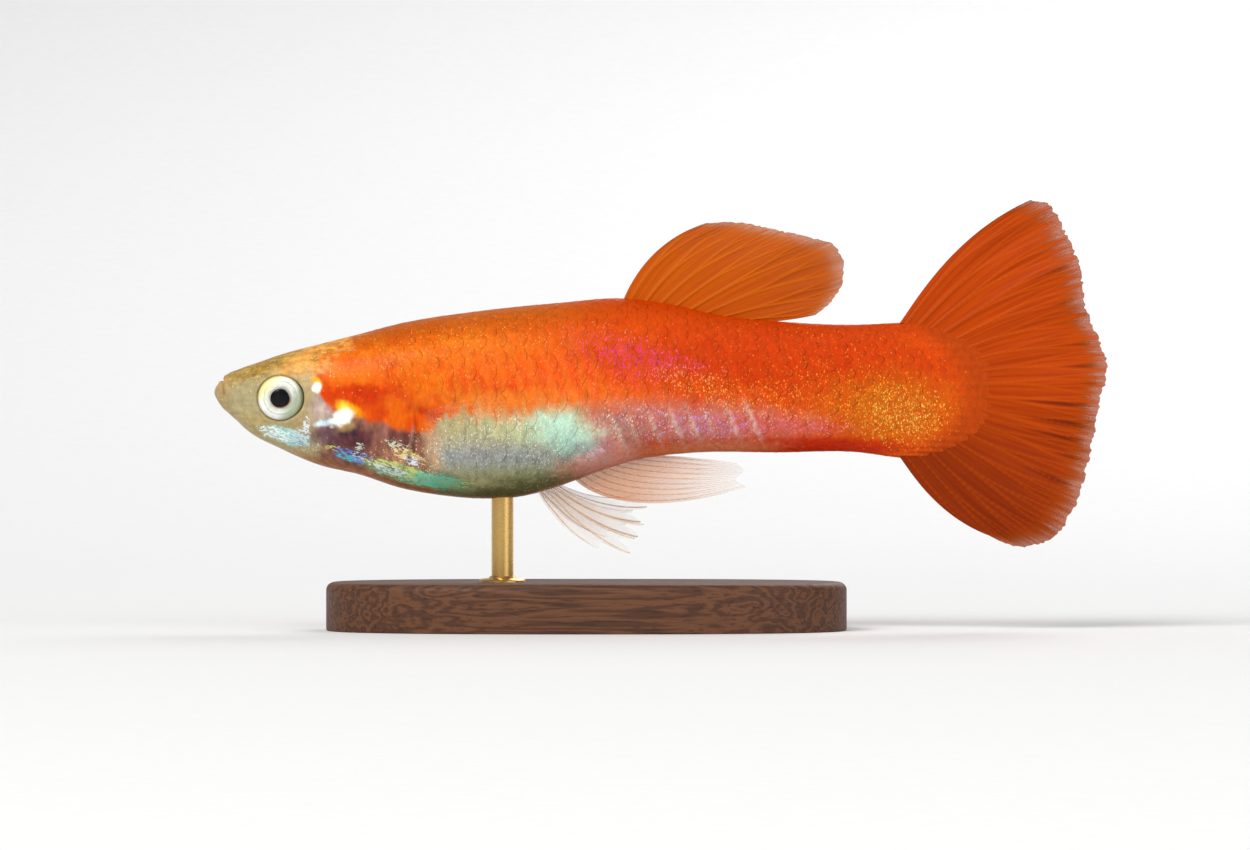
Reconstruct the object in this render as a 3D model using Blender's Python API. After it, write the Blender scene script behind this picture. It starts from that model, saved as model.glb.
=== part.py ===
"""Male guppy, about 45 mm long, as a still life-size model on a plain display stand.

The fish swims towards -X with its back up (+Z) and its left side towards -Y. The outlines below
are in millimetres, measured back from the tip of the snout (x) and up from the body's axis (z),
a level line through the mouth. The model's origin is on the floor, under the middle of the fish.
"""

import math

import bmesh
import bpy
import numpy as np

MM = 0.001

# Driving dimensions, in millimetres: the fish's length, its axis over the floor, and the gap
# that neighbouring pieces keep
TOTAL_LENGTH = 44.75
AXIS_HEIGHT = 12.0
GAP = 0.25

# Back and belly of the side view, as (x, z)
BACK = [
    (0.0, 0.36), (0.38, 0.5), (0.6, 0.74), (1.25, 1.05), (2.25, 1.4), (3.25, 1.75),
    (5.25, 2.29), (7.25, 2.8), (9.25, 3.32), (13.25, 3.95), (17.25, 4.36), (20.4, 4.58),
    (22.2, 4.4), (25.5, 3.72), (28.6, 3.4), (32.25, 3.27), (34.3, 3.38), (38.0, 3.7),
]
BELLY = [
    (0.0, -0.52), (0.35, -0.85), (0.75, -1.2), (1.75, -2.1), (3.25, -2.9), (5.25, -3.75),
    (7.25, -4.22), (9.25, -4.88), (11.25, -5.25), (13.25, -5.42), (15.25, -5.33),
    (17.25, -4.8), (19.25, -4.05), (21.25, -3.45), (23.75, -3.15), (28.25, -3.12),
    (32.25, -3.12), (34.1, -3.38), (38.0, -3.8),
]
# Half of the width seen from above, as (x, y), and the height of the widest place, as (x, z)
HALF_WIDTH = [
    (0.0, 0.78), (0.6, 1.08), (1.25, 1.42), (2.25, 1.9), (3.4, 2.3), (5.25, 2.65), (8.0, 2.92),
    (12.0, 3.02), (15.0, 2.85), (18.0, 2.45), (21.0, 2.05), (25.0, 1.62), (29.0, 1.25),
    (33.0, 0.9), (35.5, 0.6), (38.0, 0.28),
]
WIDEST_HEIGHT = [(0.0, -0.12), (3.4, -0.35), (8.0, -0.7), (14.0, -0.9), (20.0, -0.2), (28.0, 0.1), (38.0, 0.0)]
# How square the section is above and below its widest place, as (x, power): 2 is an ellipse
BACK_SQUARENESS = [(0.0, 2.3), (3.5, 2.7), (9.0, 2.3), (20.0, 2.05), (38.0, 2.0)]
BELLY_SQUARENESS = [(0.0, 2.2), (5.0, 2.1), (14.0, 2.25), (20.0, 1.95), (38.0, 2.0)]
SNOUT_ROUNDING = 0.5

# Points around the body, and where its rings stand
AROUND = 36
HEAD_STATIONS = [
    0.012, 0.06, 0.14, 0.24, 0.33, 0.4, 0.47, 0.54, 0.62, 0.74, 0.95, 1.25, 1.65, 2.1, 2.6,
    3.1, 3.6, 4.1, 4.7, 5.4, 6.2,
]
HEAD_REAR_SHARES = (0.35, 0.7, 1.0)
TORSO_STATIONS = 16
TAIL_STATIONS = 9
CAP_SHARES = (0.7, 0.35)

# The gill opening is the cut between head and torso, a parabola that reaches furthest back here
GILL_CUT_REAR = 10.1
GILL_CUT_HEIGHT = -1.45
GILL_CUT_BEND = 0.1
TORSO_END = 26.6
# The fleshy end of the tail, a convex curve that the tail fin's rays leave
TAIL_ROOT_START = 34.4
TAIL_ROOT_BULGE = 3.25
TAIL_ROOT_ROUNDNESS = 0.75
TAIL_ROOT_HALF_DEPTH = 3.46

# The mouth opens upwards: its line starts behind the lower lip's tip and slants back to its corners
MOUTH_TOP = (0.42, 0.5)
MOUTH_SLANT = 0.17
MOUTH_CORNER_HEIGHT = -0.62
MOUTH_CORNER_FADE = 0.15
MOUTH_DEPTH = 0.2
MOUTH_HALF_WIDTH = 0.07
LIP_SWELL = 0.045
LIP_OFFSET = 0.15
LIP_HALF_WIDTH = 0.09
NOSTRIL = (1.5, 0.5)
NOSTRIL_RADIUS = 0.2

# Place and size of the eye, whose outer face stands proud of the head
EYE = (3.33, -0.4)
EYE_RADIUS = 1.17
EYE_FLATNESS = 0.96
EYE_HALF_THICKNESS = 0.82
EYE_PROUD = 0.3
EYE_GAP = 0.18
PUPIL_RADIUS = 0.5
PUPIL_PROUD = 0.1
PUPIL_EDGE = 0.06
EYE_ROWS = 12
IRIS_RADII = (0.82, 0.65)

# The gill cover: a plate from under the skin to a little over it, highest at its rear edge
COVER_CENTRE = (7.95, -1.55)
COVER_RADII = (2.45, 2.05)
COVER_SQUARENESS = 2.4
COVER_PROUD = 0.14
COVER_FRONT_RISE = 0.15
COVER_DEPTH = 0.5
COVER_ROOM = 1.5

# Every fin's web and the ridges of its rays, with ray width as a share of the space for one ray
FIN_HALF_THICKNESS = 0.26
FIN_EDGE_HALF_THICKNESS = 0.14
RAY_HEIGHT = 0.13
RAY_WIDTH = 0.17
RAY_TAPER = 0.6
BRANCH_SPREAD = 0.25
OUTER_WEB = 0.15

TAIL_FIN_RAYS = 15
DORSAL_FIN_RAYS = 7
DORSAL_BASE = (20.4, 26.0)
ANAL_FIN_RAYS = 5
ANAL_BASE = (18.1, 20.6)
PELVIC_ROOT = 16.2
PELVIC_ROOT_REACH = (-0.15, 0.35, 0.85)
PELVIC_INSET = 0.5
PELVIC_SPLAY = 0.28
PELVIC_RAISED = {"left": 0.0, "right": 9.0}
PECTORAL_ROOT = 10.75
PECTORAL_ROOT_HEIGHTS = (-2.6, -1.15)
PECTORAL_SPLAY = 24.0
PECTORAL_CUP = 0.25

# The display stand: an oval base, and one rod under the belly
BASE_CENTRE = 18.6
BASE_HALF_LENGTH = 13.0
BASE_HALF_WIDTH = 7.5
BASE_SQUARENESS = 2.6
BASE_THICKNESS = 2.4
BASE_FOOT_EDGE = 0.15
BASE_EDGE = 0.35
BASE_SIDES = 40
ROD_PLACE = 14.4
ROD_RADIUS = 0.55
ROD_SIDES = 20

COLOURS = {
    "orange_skin": (0.86, 0.19, 0.02, 1.0),
    "pale_skin": (0.72, 0.6, 0.42, 1.0),
    "silver_plate": (0.55, 0.55, 0.6, 1.0),
    "eye_silver": (0.86, 0.87, 0.78, 1.0),
    "orange_fin": (0.82, 0.16, 0.02, 1.0),
    "clear_fin": (0.78, 0.66, 0.5, 1.0),
    "walnut": (0.12, 0.06, 0.035, 1.0),
    "brass": (0.72, 0.55, 0.28, 1.0),
}


def clear_scene():
    for item in list(bpy.data.objects):
        bpy.data.objects.remove(item)


def material(name, roughness, metallic=0.0):
    found = bpy.data.materials.get(name)
    if found:
        return found
    made = bpy.data.materials.new(name)
    made.use_nodes = True
    shader = made.node_tree.nodes["Principled BSDF"]
    shader.inputs["Base Color"].default_value = COLOURS[name]
    shader.inputs["Roughness"].default_value = roughness
    shader.inputs["Metallic"].default_value = metallic
    return made


def signed_power(value, power):
    return np.sign(value) * np.abs(value) ** power


def hermite(knots, values):
    """Smooth function through the points: cubic pieces whose slopes are the mean of their neighbours'."""
    knots = np.asarray(knots, float)
    values = np.asarray(values, float)
    slopes = np.gradient(values, knots, axis=0)

    def at(place):
        place = np.clip(np.asarray(place, float), knots[0], knots[-1])
        i = np.clip(np.searchsorted(knots, place, side="right") - 1, 0, len(knots) - 2)
        step = knots[i + 1] - knots[i]
        s = (place - knots[i]) / step
        weights = (2 * s**3 - 3 * s**2 + 1, (s**3 - 2 * s**2 + s) * step, 3 * s**2 - 2 * s**3, (s**3 - s**2) * step)
        parts = (values[i], slopes[i], values[i + 1], slopes[i + 1])
        if values.ndim == 2:
            weights = [w[..., None] for w in weights]
        return sum(w * p for w, p in zip(weights, parts))

    return at


def profile(points):
    return hermite([p[0] for p in points], [p[1] for p in points])


def line_through(points):
    """Smooth line through the points, read by its share of the way along, 0 to 1."""
    points = np.asarray(points, float)
    along = np.concatenate([[0], np.cumsum(np.linalg.norm(np.diff(points, axis=0), axis=1))])
    return hermite(along / along[-1], points)


back = profile(BACK)
belly = profile(BELLY)
half_width = profile(HALF_WIDTH)
widest_height = profile(WIDEST_HEIGHT)
back_squareness = profile(BACK_SQUARENESS)
belly_squareness = profile(BELLY_SQUARENESS)


def rounding(x):
    """Quarter ellipse that draws the section in to a point at the tip of the snout."""
    return np.sqrt(np.clip(1 - (1 - np.clip(x / SNOUT_ROUNDING, 0, 1)) ** 2, 1e-4, 1))


def mouth_groove(x, z):
    """Depth of the mouth's line, a groove between two swelling lips that fades out at its corners."""
    off = x - MOUTH_TOP[0] - MOUTH_SLANT * (MOUTH_TOP[1] - z)
    fade = np.clip((z - MOUTH_CORNER_HEIGHT + MOUTH_CORNER_FADE) / (2 * MOUTH_CORNER_FADE), 0, 1)
    groove = np.exp(-((off / MOUTH_HALF_WIDTH) ** 2))
    lips = np.exp(-(((np.abs(off) - LIP_OFFSET) / LIP_HALF_WIDTH) ** 2))
    return (MOUTH_DEPTH * groove - LIP_SWELL * lips) * fade


def body_point(x, angle):
    """Point of the body's surface: a superellipse section at x, taken at an angle up from the left side."""
    c, s = np.cos(angle), np.sin(angle)
    middle = widest_height(x)
    rise = np.where(s >= 0, back(x) - middle, middle - belly(x))
    power = 2 / np.where(s >= 0, back_squareness(x), belly_squareness(x))
    y = -half_width(x) * signed_power(c, power) * rounding(x)
    z = rise * signed_power(s, power) * rounding(x)
    reach = np.maximum(np.hypot(y, z), 1e-6)
    keep = 1 - np.minimum(mouth_groove(x, middle + z), 0.6 * reach) / reach
    return np.stack([x + 0 * c, y * keep, middle + z * keep], axis=-1)


def side_y(x, z):
    """Half of the body's width at x and height z, from the section's own formula."""
    middle = widest_height(x)
    above = z >= middle
    rise = np.where(above, back(x) - middle, middle - belly(x))
    squareness = np.where(above, back_squareness(x), belly_squareness(x))
    share = np.clip(np.abs(z - middle) / rise, 0, 0.999)
    return half_width(x) * (1 - share**squareness) ** (1 / squareness) * rounding(x)


def gill_cut(z):
    return GILL_CUT_REAR - GILL_CUT_BEND * (z - GILL_CUT_HEIGHT) ** 2


def torso_cut(z):
    return TORSO_END + 0 * z


def tail_root(z):
    share = np.clip(1 - (z / TAIL_ROOT_HALF_DEPTH) ** 2, 0, 1)
    return TAIL_ROOT_START + TAIL_ROOT_BULGE * share**TAIL_ROOT_ROUNDNESS


def ring_on_cut(cut, shift, angles):
    """Ring where the body's surface meets a cut, found by repeating x = cut(z)."""
    x = np.full(len(angles), float(cut(np.array(0.0))))
    for _ in range(40):
        x = 0.5 * x + 0.5 * (cut(body_point(x, angles)[:, 2]) + shift)
    return body_point(x, angles)


def cap_rings(ring, cut, shift):
    """Smaller copies of a ring that lie on the cut, and the point in their middle."""
    middle = ring.mean(axis=0)
    rings = []
    for share in CAP_SHARES:
        inner = middle + share * (ring - middle)
        inner[:, 0] = cut(inner[:, 2]) + shift
        rings.append(inner)
    middle[0] = cut(middle[2]) + shift
    return rings, middle


def to_world(points):
    """The fish's own millimetres as the model's metres."""
    return (np.asarray(points, float) + (-TOTAL_LENGTH / 2, 0, AXIS_HEIGHT)) * MM


def new_object(name, points, faces, finish, smooth=40.0):
    mesh = bpy.data.meshes.new(name)
    mesh.from_pydata(to_world(points).tolist(), [], faces)
    shape = bmesh.new()
    shape.from_mesh(mesh)
    bmesh.ops.recalc_face_normals(shape, faces=shape.faces)
    shape.to_mesh(mesh)
    shape.free()
    mesh.shade_smooth()
    mesh.set_sharp_from_angle(angle=math.radians(smooth))
    mesh.materials.append(finish)
    made = bpy.data.objects.new(name, mesh)
    bpy.context.scene.collection.objects.link(made)
    return made


def tube_faces(rings, around):
    """Triangles between neighbouring rings of a closed tube."""
    faces = []
    for i in range(rings - 1):
        for j in range(around):
            a, b = i * around + j, i * around + (j + 1) % around
            faces += [(a, b, b + around), (a, b + around, a + around)]
    return faces


def loft(name, rings, first, last, finish):
    """Closed solid through rings of like points, ended by a point at each end."""
    around = len(rings[0])
    points = np.concatenate([np.concatenate(rings), [first, last]])
    faces = tube_faces(len(rings), around)
    start, end = len(points) - 2, len(points) - 1
    final = (len(rings) - 1) * around
    for j in range(around):
        k = (j + 1) % around
        faces += [(start, k, j), (end, final + j, final + k)]
    return new_object(name, points, faces, finish)


def between(first, last, count):
    """Rings from one cut to the next, on the body's surface."""
    angles = ring_angles()
    shares = np.linspace(0, 1, count)
    return [body_point(first[:, 0] + s * (last[:, 0] - first[:, 0]), angles) for s in shares]


def ring_angles():
    return np.linspace(0, 2 * math.pi, AROUND, endpoint=False)


def cut_out(target, cutters):
    """Takes the cutters' shapes out of the target, and removes them."""
    for cutter in cutters:
        change = target.modifiers.new("cut", "BOOLEAN")
        change.operation = "DIFFERENCE"
        change.solver = "EXACT"
        change.object = cutter
    apply_modifiers(target)
    for cutter in cutters:
        bpy.data.objects.remove(cutter)


def apply_modifiers(target):
    graph = bpy.context.evaluated_depsgraph_get()
    graph.update()
    made = bpy.data.meshes.new_from_object(target.evaluated_get(graph))
    target.modifiers.clear()
    target.data = made
    keep_largest(target)


def keep_largest(target):
    """Leaves only the largest closed surface of a mesh."""
    shape = bmesh.new()
    shape.from_mesh(target.data)
    bmesh.ops.remove_doubles(shape, verts=shape.verts, dist=2e-7)
    left, groups = set(shape.verts), []
    while left:
        seed = left.pop()
        group, edge_of = {seed}, [seed]
        while edge_of:
            here = edge_of.pop()
            for edge in here.link_edges:
                other = edge.other_vert(here)
                if other not in group:
                    group.add(other)
                    edge_of.append(other)
        left -= group
        groups.append(group)
    groups.sort(key=len, reverse=True)
    for group in groups[1:]:
        bmesh.ops.delete(shape, geom=list(group), context="VERTS")
    shape.to_mesh(target.data)
    shape.free()


def turned(name, centre, side, profile_points, flatness, finish, segments=20):
    """Solid turned about an axis along Y, from (radius, height) points that run from its inner pole to its outer one.

    The height is measured outwards, away from the fish's middle, and flatness narrows it up and down.
    """
    turn = np.linspace(0, 2 * math.pi, segments, endpoint=False)
    centre = np.asarray(centre, float)
    circle = np.stack([np.cos(turn), 0 * turn, flatness * np.sin(turn)], axis=-1)
    outwards = np.array([0, side, 0])
    rings = [centre + radius * circle + height * outwards for radius, height in profile_points[1:-1]]
    poles = [centre + profile_points[i][1] * outwards for i in (0, -1)]
    return loft(name, rings, poles[0], poles[1], finish)


def ball_profile(radius, half_thickness, rows):
    """Half an ellipse, from the inner pole to the outer one."""
    return [(radius * math.sin(a), -half_thickness * math.cos(a)) for a in np.linspace(0, math.pi, rows + 1)]


def gill_plate(name, side, room, lifts, finish, turns=28, layers=3):
    """Plate that follows the body's side, between two heights over it.

    Its outline is a superellipse, cut off behind along the gill opening. room widens the outline
    all round, for the hollow that the plate lies in.
    """
    angle = np.linspace(0, 2 * math.pi, turns, endpoint=False)
    round_x = signed_power(np.cos(angle), 2 / COVER_SQUARENESS) * (COVER_RADII[0] + room)
    round_z = signed_power(np.sin(angle), 2 / COVER_SQUARENESS) * (COVER_RADII[1] + room)
    skins = []
    for lift in lifts:
        rings = []
        for share in np.linspace(1, 0, layers, endpoint=False):
            z = COVER_CENTRE[1] + share * round_z
            rear = share * (gill_cut(z) - GAP / 2 + 2 * room - COVER_CENTRE[0])
            x = COVER_CENTRE[0] + np.minimum(share * round_x, rear)
            rise = np.clip(1 + (x - COVER_CENTRE[0]) / COVER_RADII[0], COVER_FRONT_RISE, 1)
            rings.append(np.stack([x, side * (side_y(x, z) + (lift * rise if lift > 0 else lift)), z], axis=-1))
        x, z = np.array(COVER_CENTRE[0]), np.array(COVER_CENTRE[1])
        skins.append((rings, np.array([x, side * (side_y(x, z) + lift), z])))
    (inner, inner_middle), (outer, outer_middle) = skins
    return loft(name, inner[::-1] + outer, inner_middle, outer_middle, finish)


def make_head():
    angles = ring_angles()
    rear = ring_on_cut(gill_cut, -GAP / 2, angles)
    rings = [body_point(np.full(AROUND, x), angles) for x in HEAD_STATIONS]
    start = rings[-1]
    rings += [body_point(start[:, 0] + s * (rear[:, 0] - start[:, 0]), angles) for s in HEAD_REAR_SHARES]
    caps, middle = cap_rings(rear, gill_cut, -GAP / 2)
    tip = np.array([0.0, 0.0, float(widest_height(0.0))])
    skin = material("pale_skin", 0.35)
    head = loft("head", rings + caps, tip, middle, skin)
    cutters = []
    for side, label in ((-1, "left"), (1, "right")):
        socket = ball_profile(EYE_RADIUS + EYE_GAP, EYE_HALF_THICKNESS + EYE_GAP, EYE_ROWS)
        cutters.append(turned("socket_" + label, eye_centre(side), side, socket, EYE_FLATNESS, skin))
        cutters.append(gill_plate("cover_room_" + label, side, GAP, (-COVER_DEPTH - GAP, COVER_ROOM), skin))
        pit = ball_profile(NOSTRIL_RADIUS, NOSTRIL_RADIUS, 6)
        place = (NOSTRIL[0], side * float(side_y(*NOSTRIL)), NOSTRIL[1])
        cutters.append(turned("nostril_" + label, place, side, pit, 1.0, skin, 10))
    cut_out(head, cutters)
    return head


def eye_centre(side):
    return EYE[0], side * (float(side_y(*EYE)) + EYE_PROUD - EYE_HALF_THICKNESS), EYE[1]


def make_eye(side, label):
    """Flattened ball, with the pupil as a low step on its outer face."""
    ball = ball_profile(EYE_RADIUS, EYE_HALF_THICKNESS, EYE_ROWS)
    inner = [point for point in ball if point[1] <= EYE_HALF_THICKNESS / 2]
    outer = []
    for radius in (*IRIS_RADII, PUPIL_RADIUS + PUPIL_EDGE, PUPIL_RADIUS, PUPIL_RADIUS / 2, 0.0):
        dome = EYE_HALF_THICKNESS * math.sqrt(1 - (radius / EYE_RADIUS) ** 2)
        outer.append((radius, dome + (PUPIL_PROUD if radius <= PUPIL_RADIUS else 0.0)))
    turned("eye_" + label, eye_centre(side), side, inner + outer, EYE_FLATNESS, material("eye_silver", 0.15))


def make_torso():
    angles = ring_angles()
    front = ring_on_cut(gill_cut, GAP / 2, angles)
    rear = ring_on_cut(torso_cut, -GAP / 2, angles)
    front_caps, front_middle = cap_rings(front, gill_cut, GAP / 2)
    rear_caps, rear_middle = cap_rings(rear, torso_cut, -GAP / 2)
    rings = front_caps[::-1] + between(front, rear, TORSO_STATIONS) + rear_caps
    return loft("torso", rings, front_middle, rear_middle, material("orange_skin", 0.35))


def make_tail():
    angles = ring_angles()
    front = ring_on_cut(torso_cut, GAP / 2, angles)
    rear = ring_on_cut(tail_root, -GAP / 2, angles)
    front_caps, front_middle = cap_rings(front, torso_cut, GAP / 2)
    rear_caps, rear_middle = cap_rings(rear, tail_root, -GAP / 2)
    rings = front_caps[::-1] + between(front, rear, TAIL_STATIONS) + rear_caps
    return loft("tail", rings, front_middle, rear_middle, material("orange_skin", 0.35))


def ray_ridge(across, out, rays, split):
    """Height of the rays' ridges, 0 to 1: one ridge a ray near the root, which parts in two beyond split."""
    within = (across * rays) % 1.0
    apart = BRANCH_SPREAD * np.clip((out - split) / (1 - split), 0, 1)
    one, other = (within - 0.5 - apart) / RAY_WIDTH, (within - 0.5 + apart) / RAY_WIDTH
    return np.maximum(np.exp(-(one**2)), np.exp(-(other**2)))


def arch(out, lean=1.0):
    """Arch of height 1 along a ray, which a lean under 1 moves towards the root."""
    return 4 * out**lean * (1 - out**lean)


def through_tips(tips):
    """Edge of a fin that meets each ray's tip in the middle of that ray's share of the fin."""
    tips = np.asarray(tips, float)
    middles = (np.arange(len(tips)) + 0.5) / len(tips)
    first = tips[0] + (tips[0] - tips[1]) * OUTER_WEB
    last = tips[-1] + (tips[-1] - tips[-2]) * OUTER_WEB
    return hermite(np.concatenate([[0], middles, [1]]), np.concatenate([[first], tips, [last]]))


def fin(name, base, edge, rays, rows, finish, place, bow, columns_a_ray=6, split=0.45, notch=0.012):
    """Webbed fin as one closed solid: rays as ridges on both faces, and the two faces split alike.

    base and edge are curves from the first ray to the last, read by a share 0 to 1. A ray runs
    straight from one to the other, pushed sideways by bow(across, out). Between the rays the web
    falls short of the tips by the notch. place turns a point of the fin's own plane and a height
    off that plane into the fish's frame.
    """
    across, out = np.meshgrid(np.linspace(0, 1, rays * columns_a_ray + 1), np.linspace(0, 1, rows), indexing="ij")
    ridge = ray_ridge(across, out, rays, split)
    reach = edge(across) - base(across)
    sideways = np.stack([-reach[..., 1], reach[..., 0]], axis=-1) / np.linalg.norm(reach, axis=-1)[..., None]
    length = out * (1 - notch * (1 - ridge) * out**4)
    flat = base(across) + reach * length[..., None] + sideways * bow(across, out)[..., None]
    thick = FIN_HALF_THICKNESS + (FIN_EDGE_HALF_THICKNESS - FIN_HALF_THICKNESS) * out**3
    thick = thick + RAY_HEIGHT * ridge * (1 - RAY_TAPER * out)
    return plate(name, place(flat, -thick, across, out), place(flat, thick, across, out), finish)


def plate(name, near, far, finish):
    """Closed solid between two like grids, with the same triangles on both and a rim between them."""
    rows, columns = near.shape[:2]
    points = np.concatenate([near.reshape(-1, 3), far.reshape(-1, 3)])
    shift = rows * columns
    faces = []
    for i in range(rows - 1):
        for j in range(columns - 1):
            a = i * columns + j
            b, c, d = a + columns, a + columns + 1, a + 1
            faces += [(a, b, c), (a, c, d), (a + shift, c + shift, b + shift), (a + shift, d + shift, c + shift)]
    rim = [i * columns for i in range(rows)]
    rim += [(rows - 1) * columns + j for j in range(1, columns)]
    rim += [i * columns + columns - 1 for i in range(rows - 2, -1, -1)]
    rim += [j for j in range(columns - 2, 0, -1)]
    for a, b in zip(rim, rim[1:] + rim[:1]):
        faces += [(a, a + shift, b + shift), (a, b + shift, b)]
    return new_object(name, points, faces, finish)


def median_place(wave, folds):
    """Fin in the fish's middle plane that ripples sideways towards its edge."""

    def place(flat, off, across, out):
        y = off + wave * out**2 * np.sin(2 * math.pi * folds * across)
        return np.stack([flat[..., 0], y, flat[..., 1]], axis=-1)

    return place


def make_tail_fin():
    heights = np.linspace(0.985, -0.985, 11) * TAIL_ROOT_HALF_DEPTH
    base = [(float(tail_root(z)) + GAP / 2, z) for z in heights]
    edge = [
        (40.9, 9.6), (41.7, 9.4), (42.75, 7.7), (43.4, 5.9), (43.6, 4.25), (44.1, 3.05), (44.7, 1.3),
        (44.3, -0.65), (44.0, -2.55), (43.6, -4.3), (42.9, -6.2), (41.7, -7.6), (40.3, -7.9), (38.6, -7.25),
    ]

    def bow(across, out):
        return (0.8 * (1 - across) ** 3 - 0.55 * across**3) * arch(out, 0.75)

    fin(
        "tail_fin", line_through(base), line_through(edge), TAIL_FIN_RAYS, 8, material("orange_fin", 0.4),
        median_place(0.28, 3.5), bow,
    )


def make_dorsal_fin():
    base = [(x, float(back(x)) + GAP) for x in np.linspace(*DORSAL_BASE, 7)]
    edge = [
        (24.6, 8.3), (26.4, 8.35), (28.2, 8.02), (29.8, 7.66), (31.1, 7.2), (31.5, 6.4), (31.4, 5.4),
        (30.9, 4.6), (29.4, 3.75),
    ]

    def bow(across, out):
        return 0.7 * (1 - across) ** 1.5 * arch(out)

    fin(
        "dorsal_fin", line_through(base), line_through(edge), DORSAL_FIN_RAYS, 8, material("orange_fin", 0.4),
        median_place(0.2, 1.5), bow,
    )


def make_anal_fin():
    base = [(x, float(belly(x)) - GAP) for x in np.linspace(*ANAL_BASE, 4)]
    edge = [(26.6, -4.8), (26.1, -4.4), (26.5, -4.0), (26.1, -3.62)]

    def bow(across, out):
        return (-0.95 * (1 - across) ** 1.3 + 0.12 * across) * arch(out, 0.8)

    fin(
        "anal_fin", line_through(base), line_through(edge), ANAL_FIN_RAYS, 9, material("clear_fin", 0.3),
        median_place(0.1, 0.5), bow, columns_a_ray=4, split=0.99,
    )


def make_pelvic_fin(side, label):
    """Small fin under the belly, whose long second ray is its lowest, raised by a few degrees."""
    root = np.array([PELVIC_ROOT, 0.0])
    turn = math.radians(PELVIC_RAISED[label])
    turned = np.array([[math.cos(turn), math.sin(turn)], [-math.sin(turn), math.cos(turn)]])
    tips = root + np.array([(3.0, -2.85), (4.75, -3.15), (4.9, -2.35), (5.4, -1.65), (4.9, -0.95)]) @ turned
    base = [(PELVIC_ROOT + along, -GAP) for along in PELVIC_ROOT_REACH]
    root_depth = float(belly(PELVIC_ROOT))

    def place(flat, off, across, out):
        away = np.linalg.norm(flat - root, axis=-1)
        on_root = np.minimum(flat[..., 0], PELVIC_ROOT + PELVIC_ROOT_REACH[-1])
        under = belly(on_root) * (1 - out) + root_depth * out
        y = PELVIC_INSET + PELVIC_SPLAY * away * out
        return np.stack([flat[..., 0], side * (y + off), flat[..., 1] + under], axis=-1)

    fin(
        "pelvic_fin_" + label, line_through(base), through_tips(tips), 5, 7, material("clear_fin", 0.3),
        place, lambda across, out: -0.4 * arch(out), columns_a_ray=4, split=0.99, notch=0.14,
    )


def make_pectoral_fin(side, label):
    low, high = PECTORAL_ROOT_HEIGHTS
    base = [(0.0, high), (0.05, (low + high) / 2), (0.0, low)]
    tips = [(3.6, -0.35), (4.9, -0.8), (5.6, -1.45), (5.75, -2.15), (5.3, -2.85), (4.3, -3.4), (3.0, -3.6)]
    splay = math.radians(PECTORAL_SPLAY)
    heights = np.linspace(low, high, 5)
    root_y = hermite(heights, side_y(np.full(5, PECTORAL_ROOT), heights))
    middle_y = float(root_y((low + high) / 2))

    def place(flat, off, across, out):
        y = root_y(flat[..., 1]) * (1 - out) + middle_y * out
        y = y + GAP + FIN_HALF_THICKNESS + flat[..., 0] * math.sin(splay) + PECTORAL_CUP * np.sin(math.pi * out)
        x = PECTORAL_ROOT + flat[..., 0] * math.cos(splay)
        return np.stack([x - off * math.sin(splay), side * (y + off * math.cos(splay)), flat[..., 1]], axis=-1)

    fin(
        "pectoral_fin_" + label, line_through(base), through_tips(tips), 7, 6, material("clear_fin", 0.3),
        place, lambda across, out: 0.12 * arch(out), columns_a_ray=4, split=0.99, notch=0.03,
    )


def make_stand():
    """Oval base with eased edges, and the rod, whose top follows the belly's underside."""
    angle = np.linspace(0, 2 * math.pi, BASE_SIDES, endpoint=False)
    round_x = signed_power(np.cos(angle), 2 / BASE_SQUARENESS)
    round_y = signed_power(np.sin(angle), 2 / BASE_SQUARENESS)

    def ring(inset, z):
        x = BASE_CENTRE + round_x * (BASE_HALF_LENGTH - inset)
        return np.stack([x, round_y * (BASE_HALF_WIDTH - inset), np.full(BASE_SIDES, z)], axis=-1)

    floor = -AXIS_HEIGHT
    top = floor + BASE_THICKNESS
    eased = [(BASE_EDGE * (1 - math.sin(a)), BASE_EDGE * (1 - math.cos(a))) for a in np.radians((90, 45, 0))]
    rings = [ring(BASE_FOOT_EDGE, floor), ring(0.0, floor + BASE_FOOT_EDGE)]
    rings += [ring(inset, top - drop) for inset, drop in eased]
    loft("stand_base", rings, (BASE_CENTRE, 0, floor), (BASE_CENTRE, 0, top), material("walnut", 0.45))

    turn = np.linspace(0, 2 * math.pi, ROD_SIDES, endpoint=False)
    x, y = ROD_PLACE + ROD_RADIUS * np.cos(turn), ROD_RADIUS * np.sin(turn)
    low = np.stack([x, y, np.full(ROD_SIDES, top + GAP)], axis=-1)
    high = np.stack([x, y, underside(x, y) - GAP], axis=-1)
    ends = [(ROD_PLACE, 0, top + GAP), (ROD_PLACE, 0, float(belly(ROD_PLACE)) - GAP)]
    loft("stand_rod", [low, high], ends[0], ends[1], material("brass", 0.25, 1.0))


def underside(x, y):
    """Height of the belly's surface at x and y, from the section's own formula."""
    middle = widest_height(x)
    squareness = belly_squareness(x)
    share = np.clip(np.abs(y) / half_width(x), 0, 1)
    return middle - (middle - belly(x)) * (1 - share**squareness) ** (1 / squareness)


def main():
    clear_scene()
    make_head()
    make_torso()
    make_tail()
    for side, label in ((-1, "left"), (1, "right")):
        make_eye(side, label)
        gill_plate("gill_cover_" + label, side, 0.0, (-COVER_DEPTH, COVER_PROUD), material("silver_plate", 0.2))
        make_pectoral_fin(side, label)
        make_pelvic_fin(side, label)
    make_dorsal_fin()
    make_anal_fin()
    make_tail_fin()
    make_stand()


main()
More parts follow.
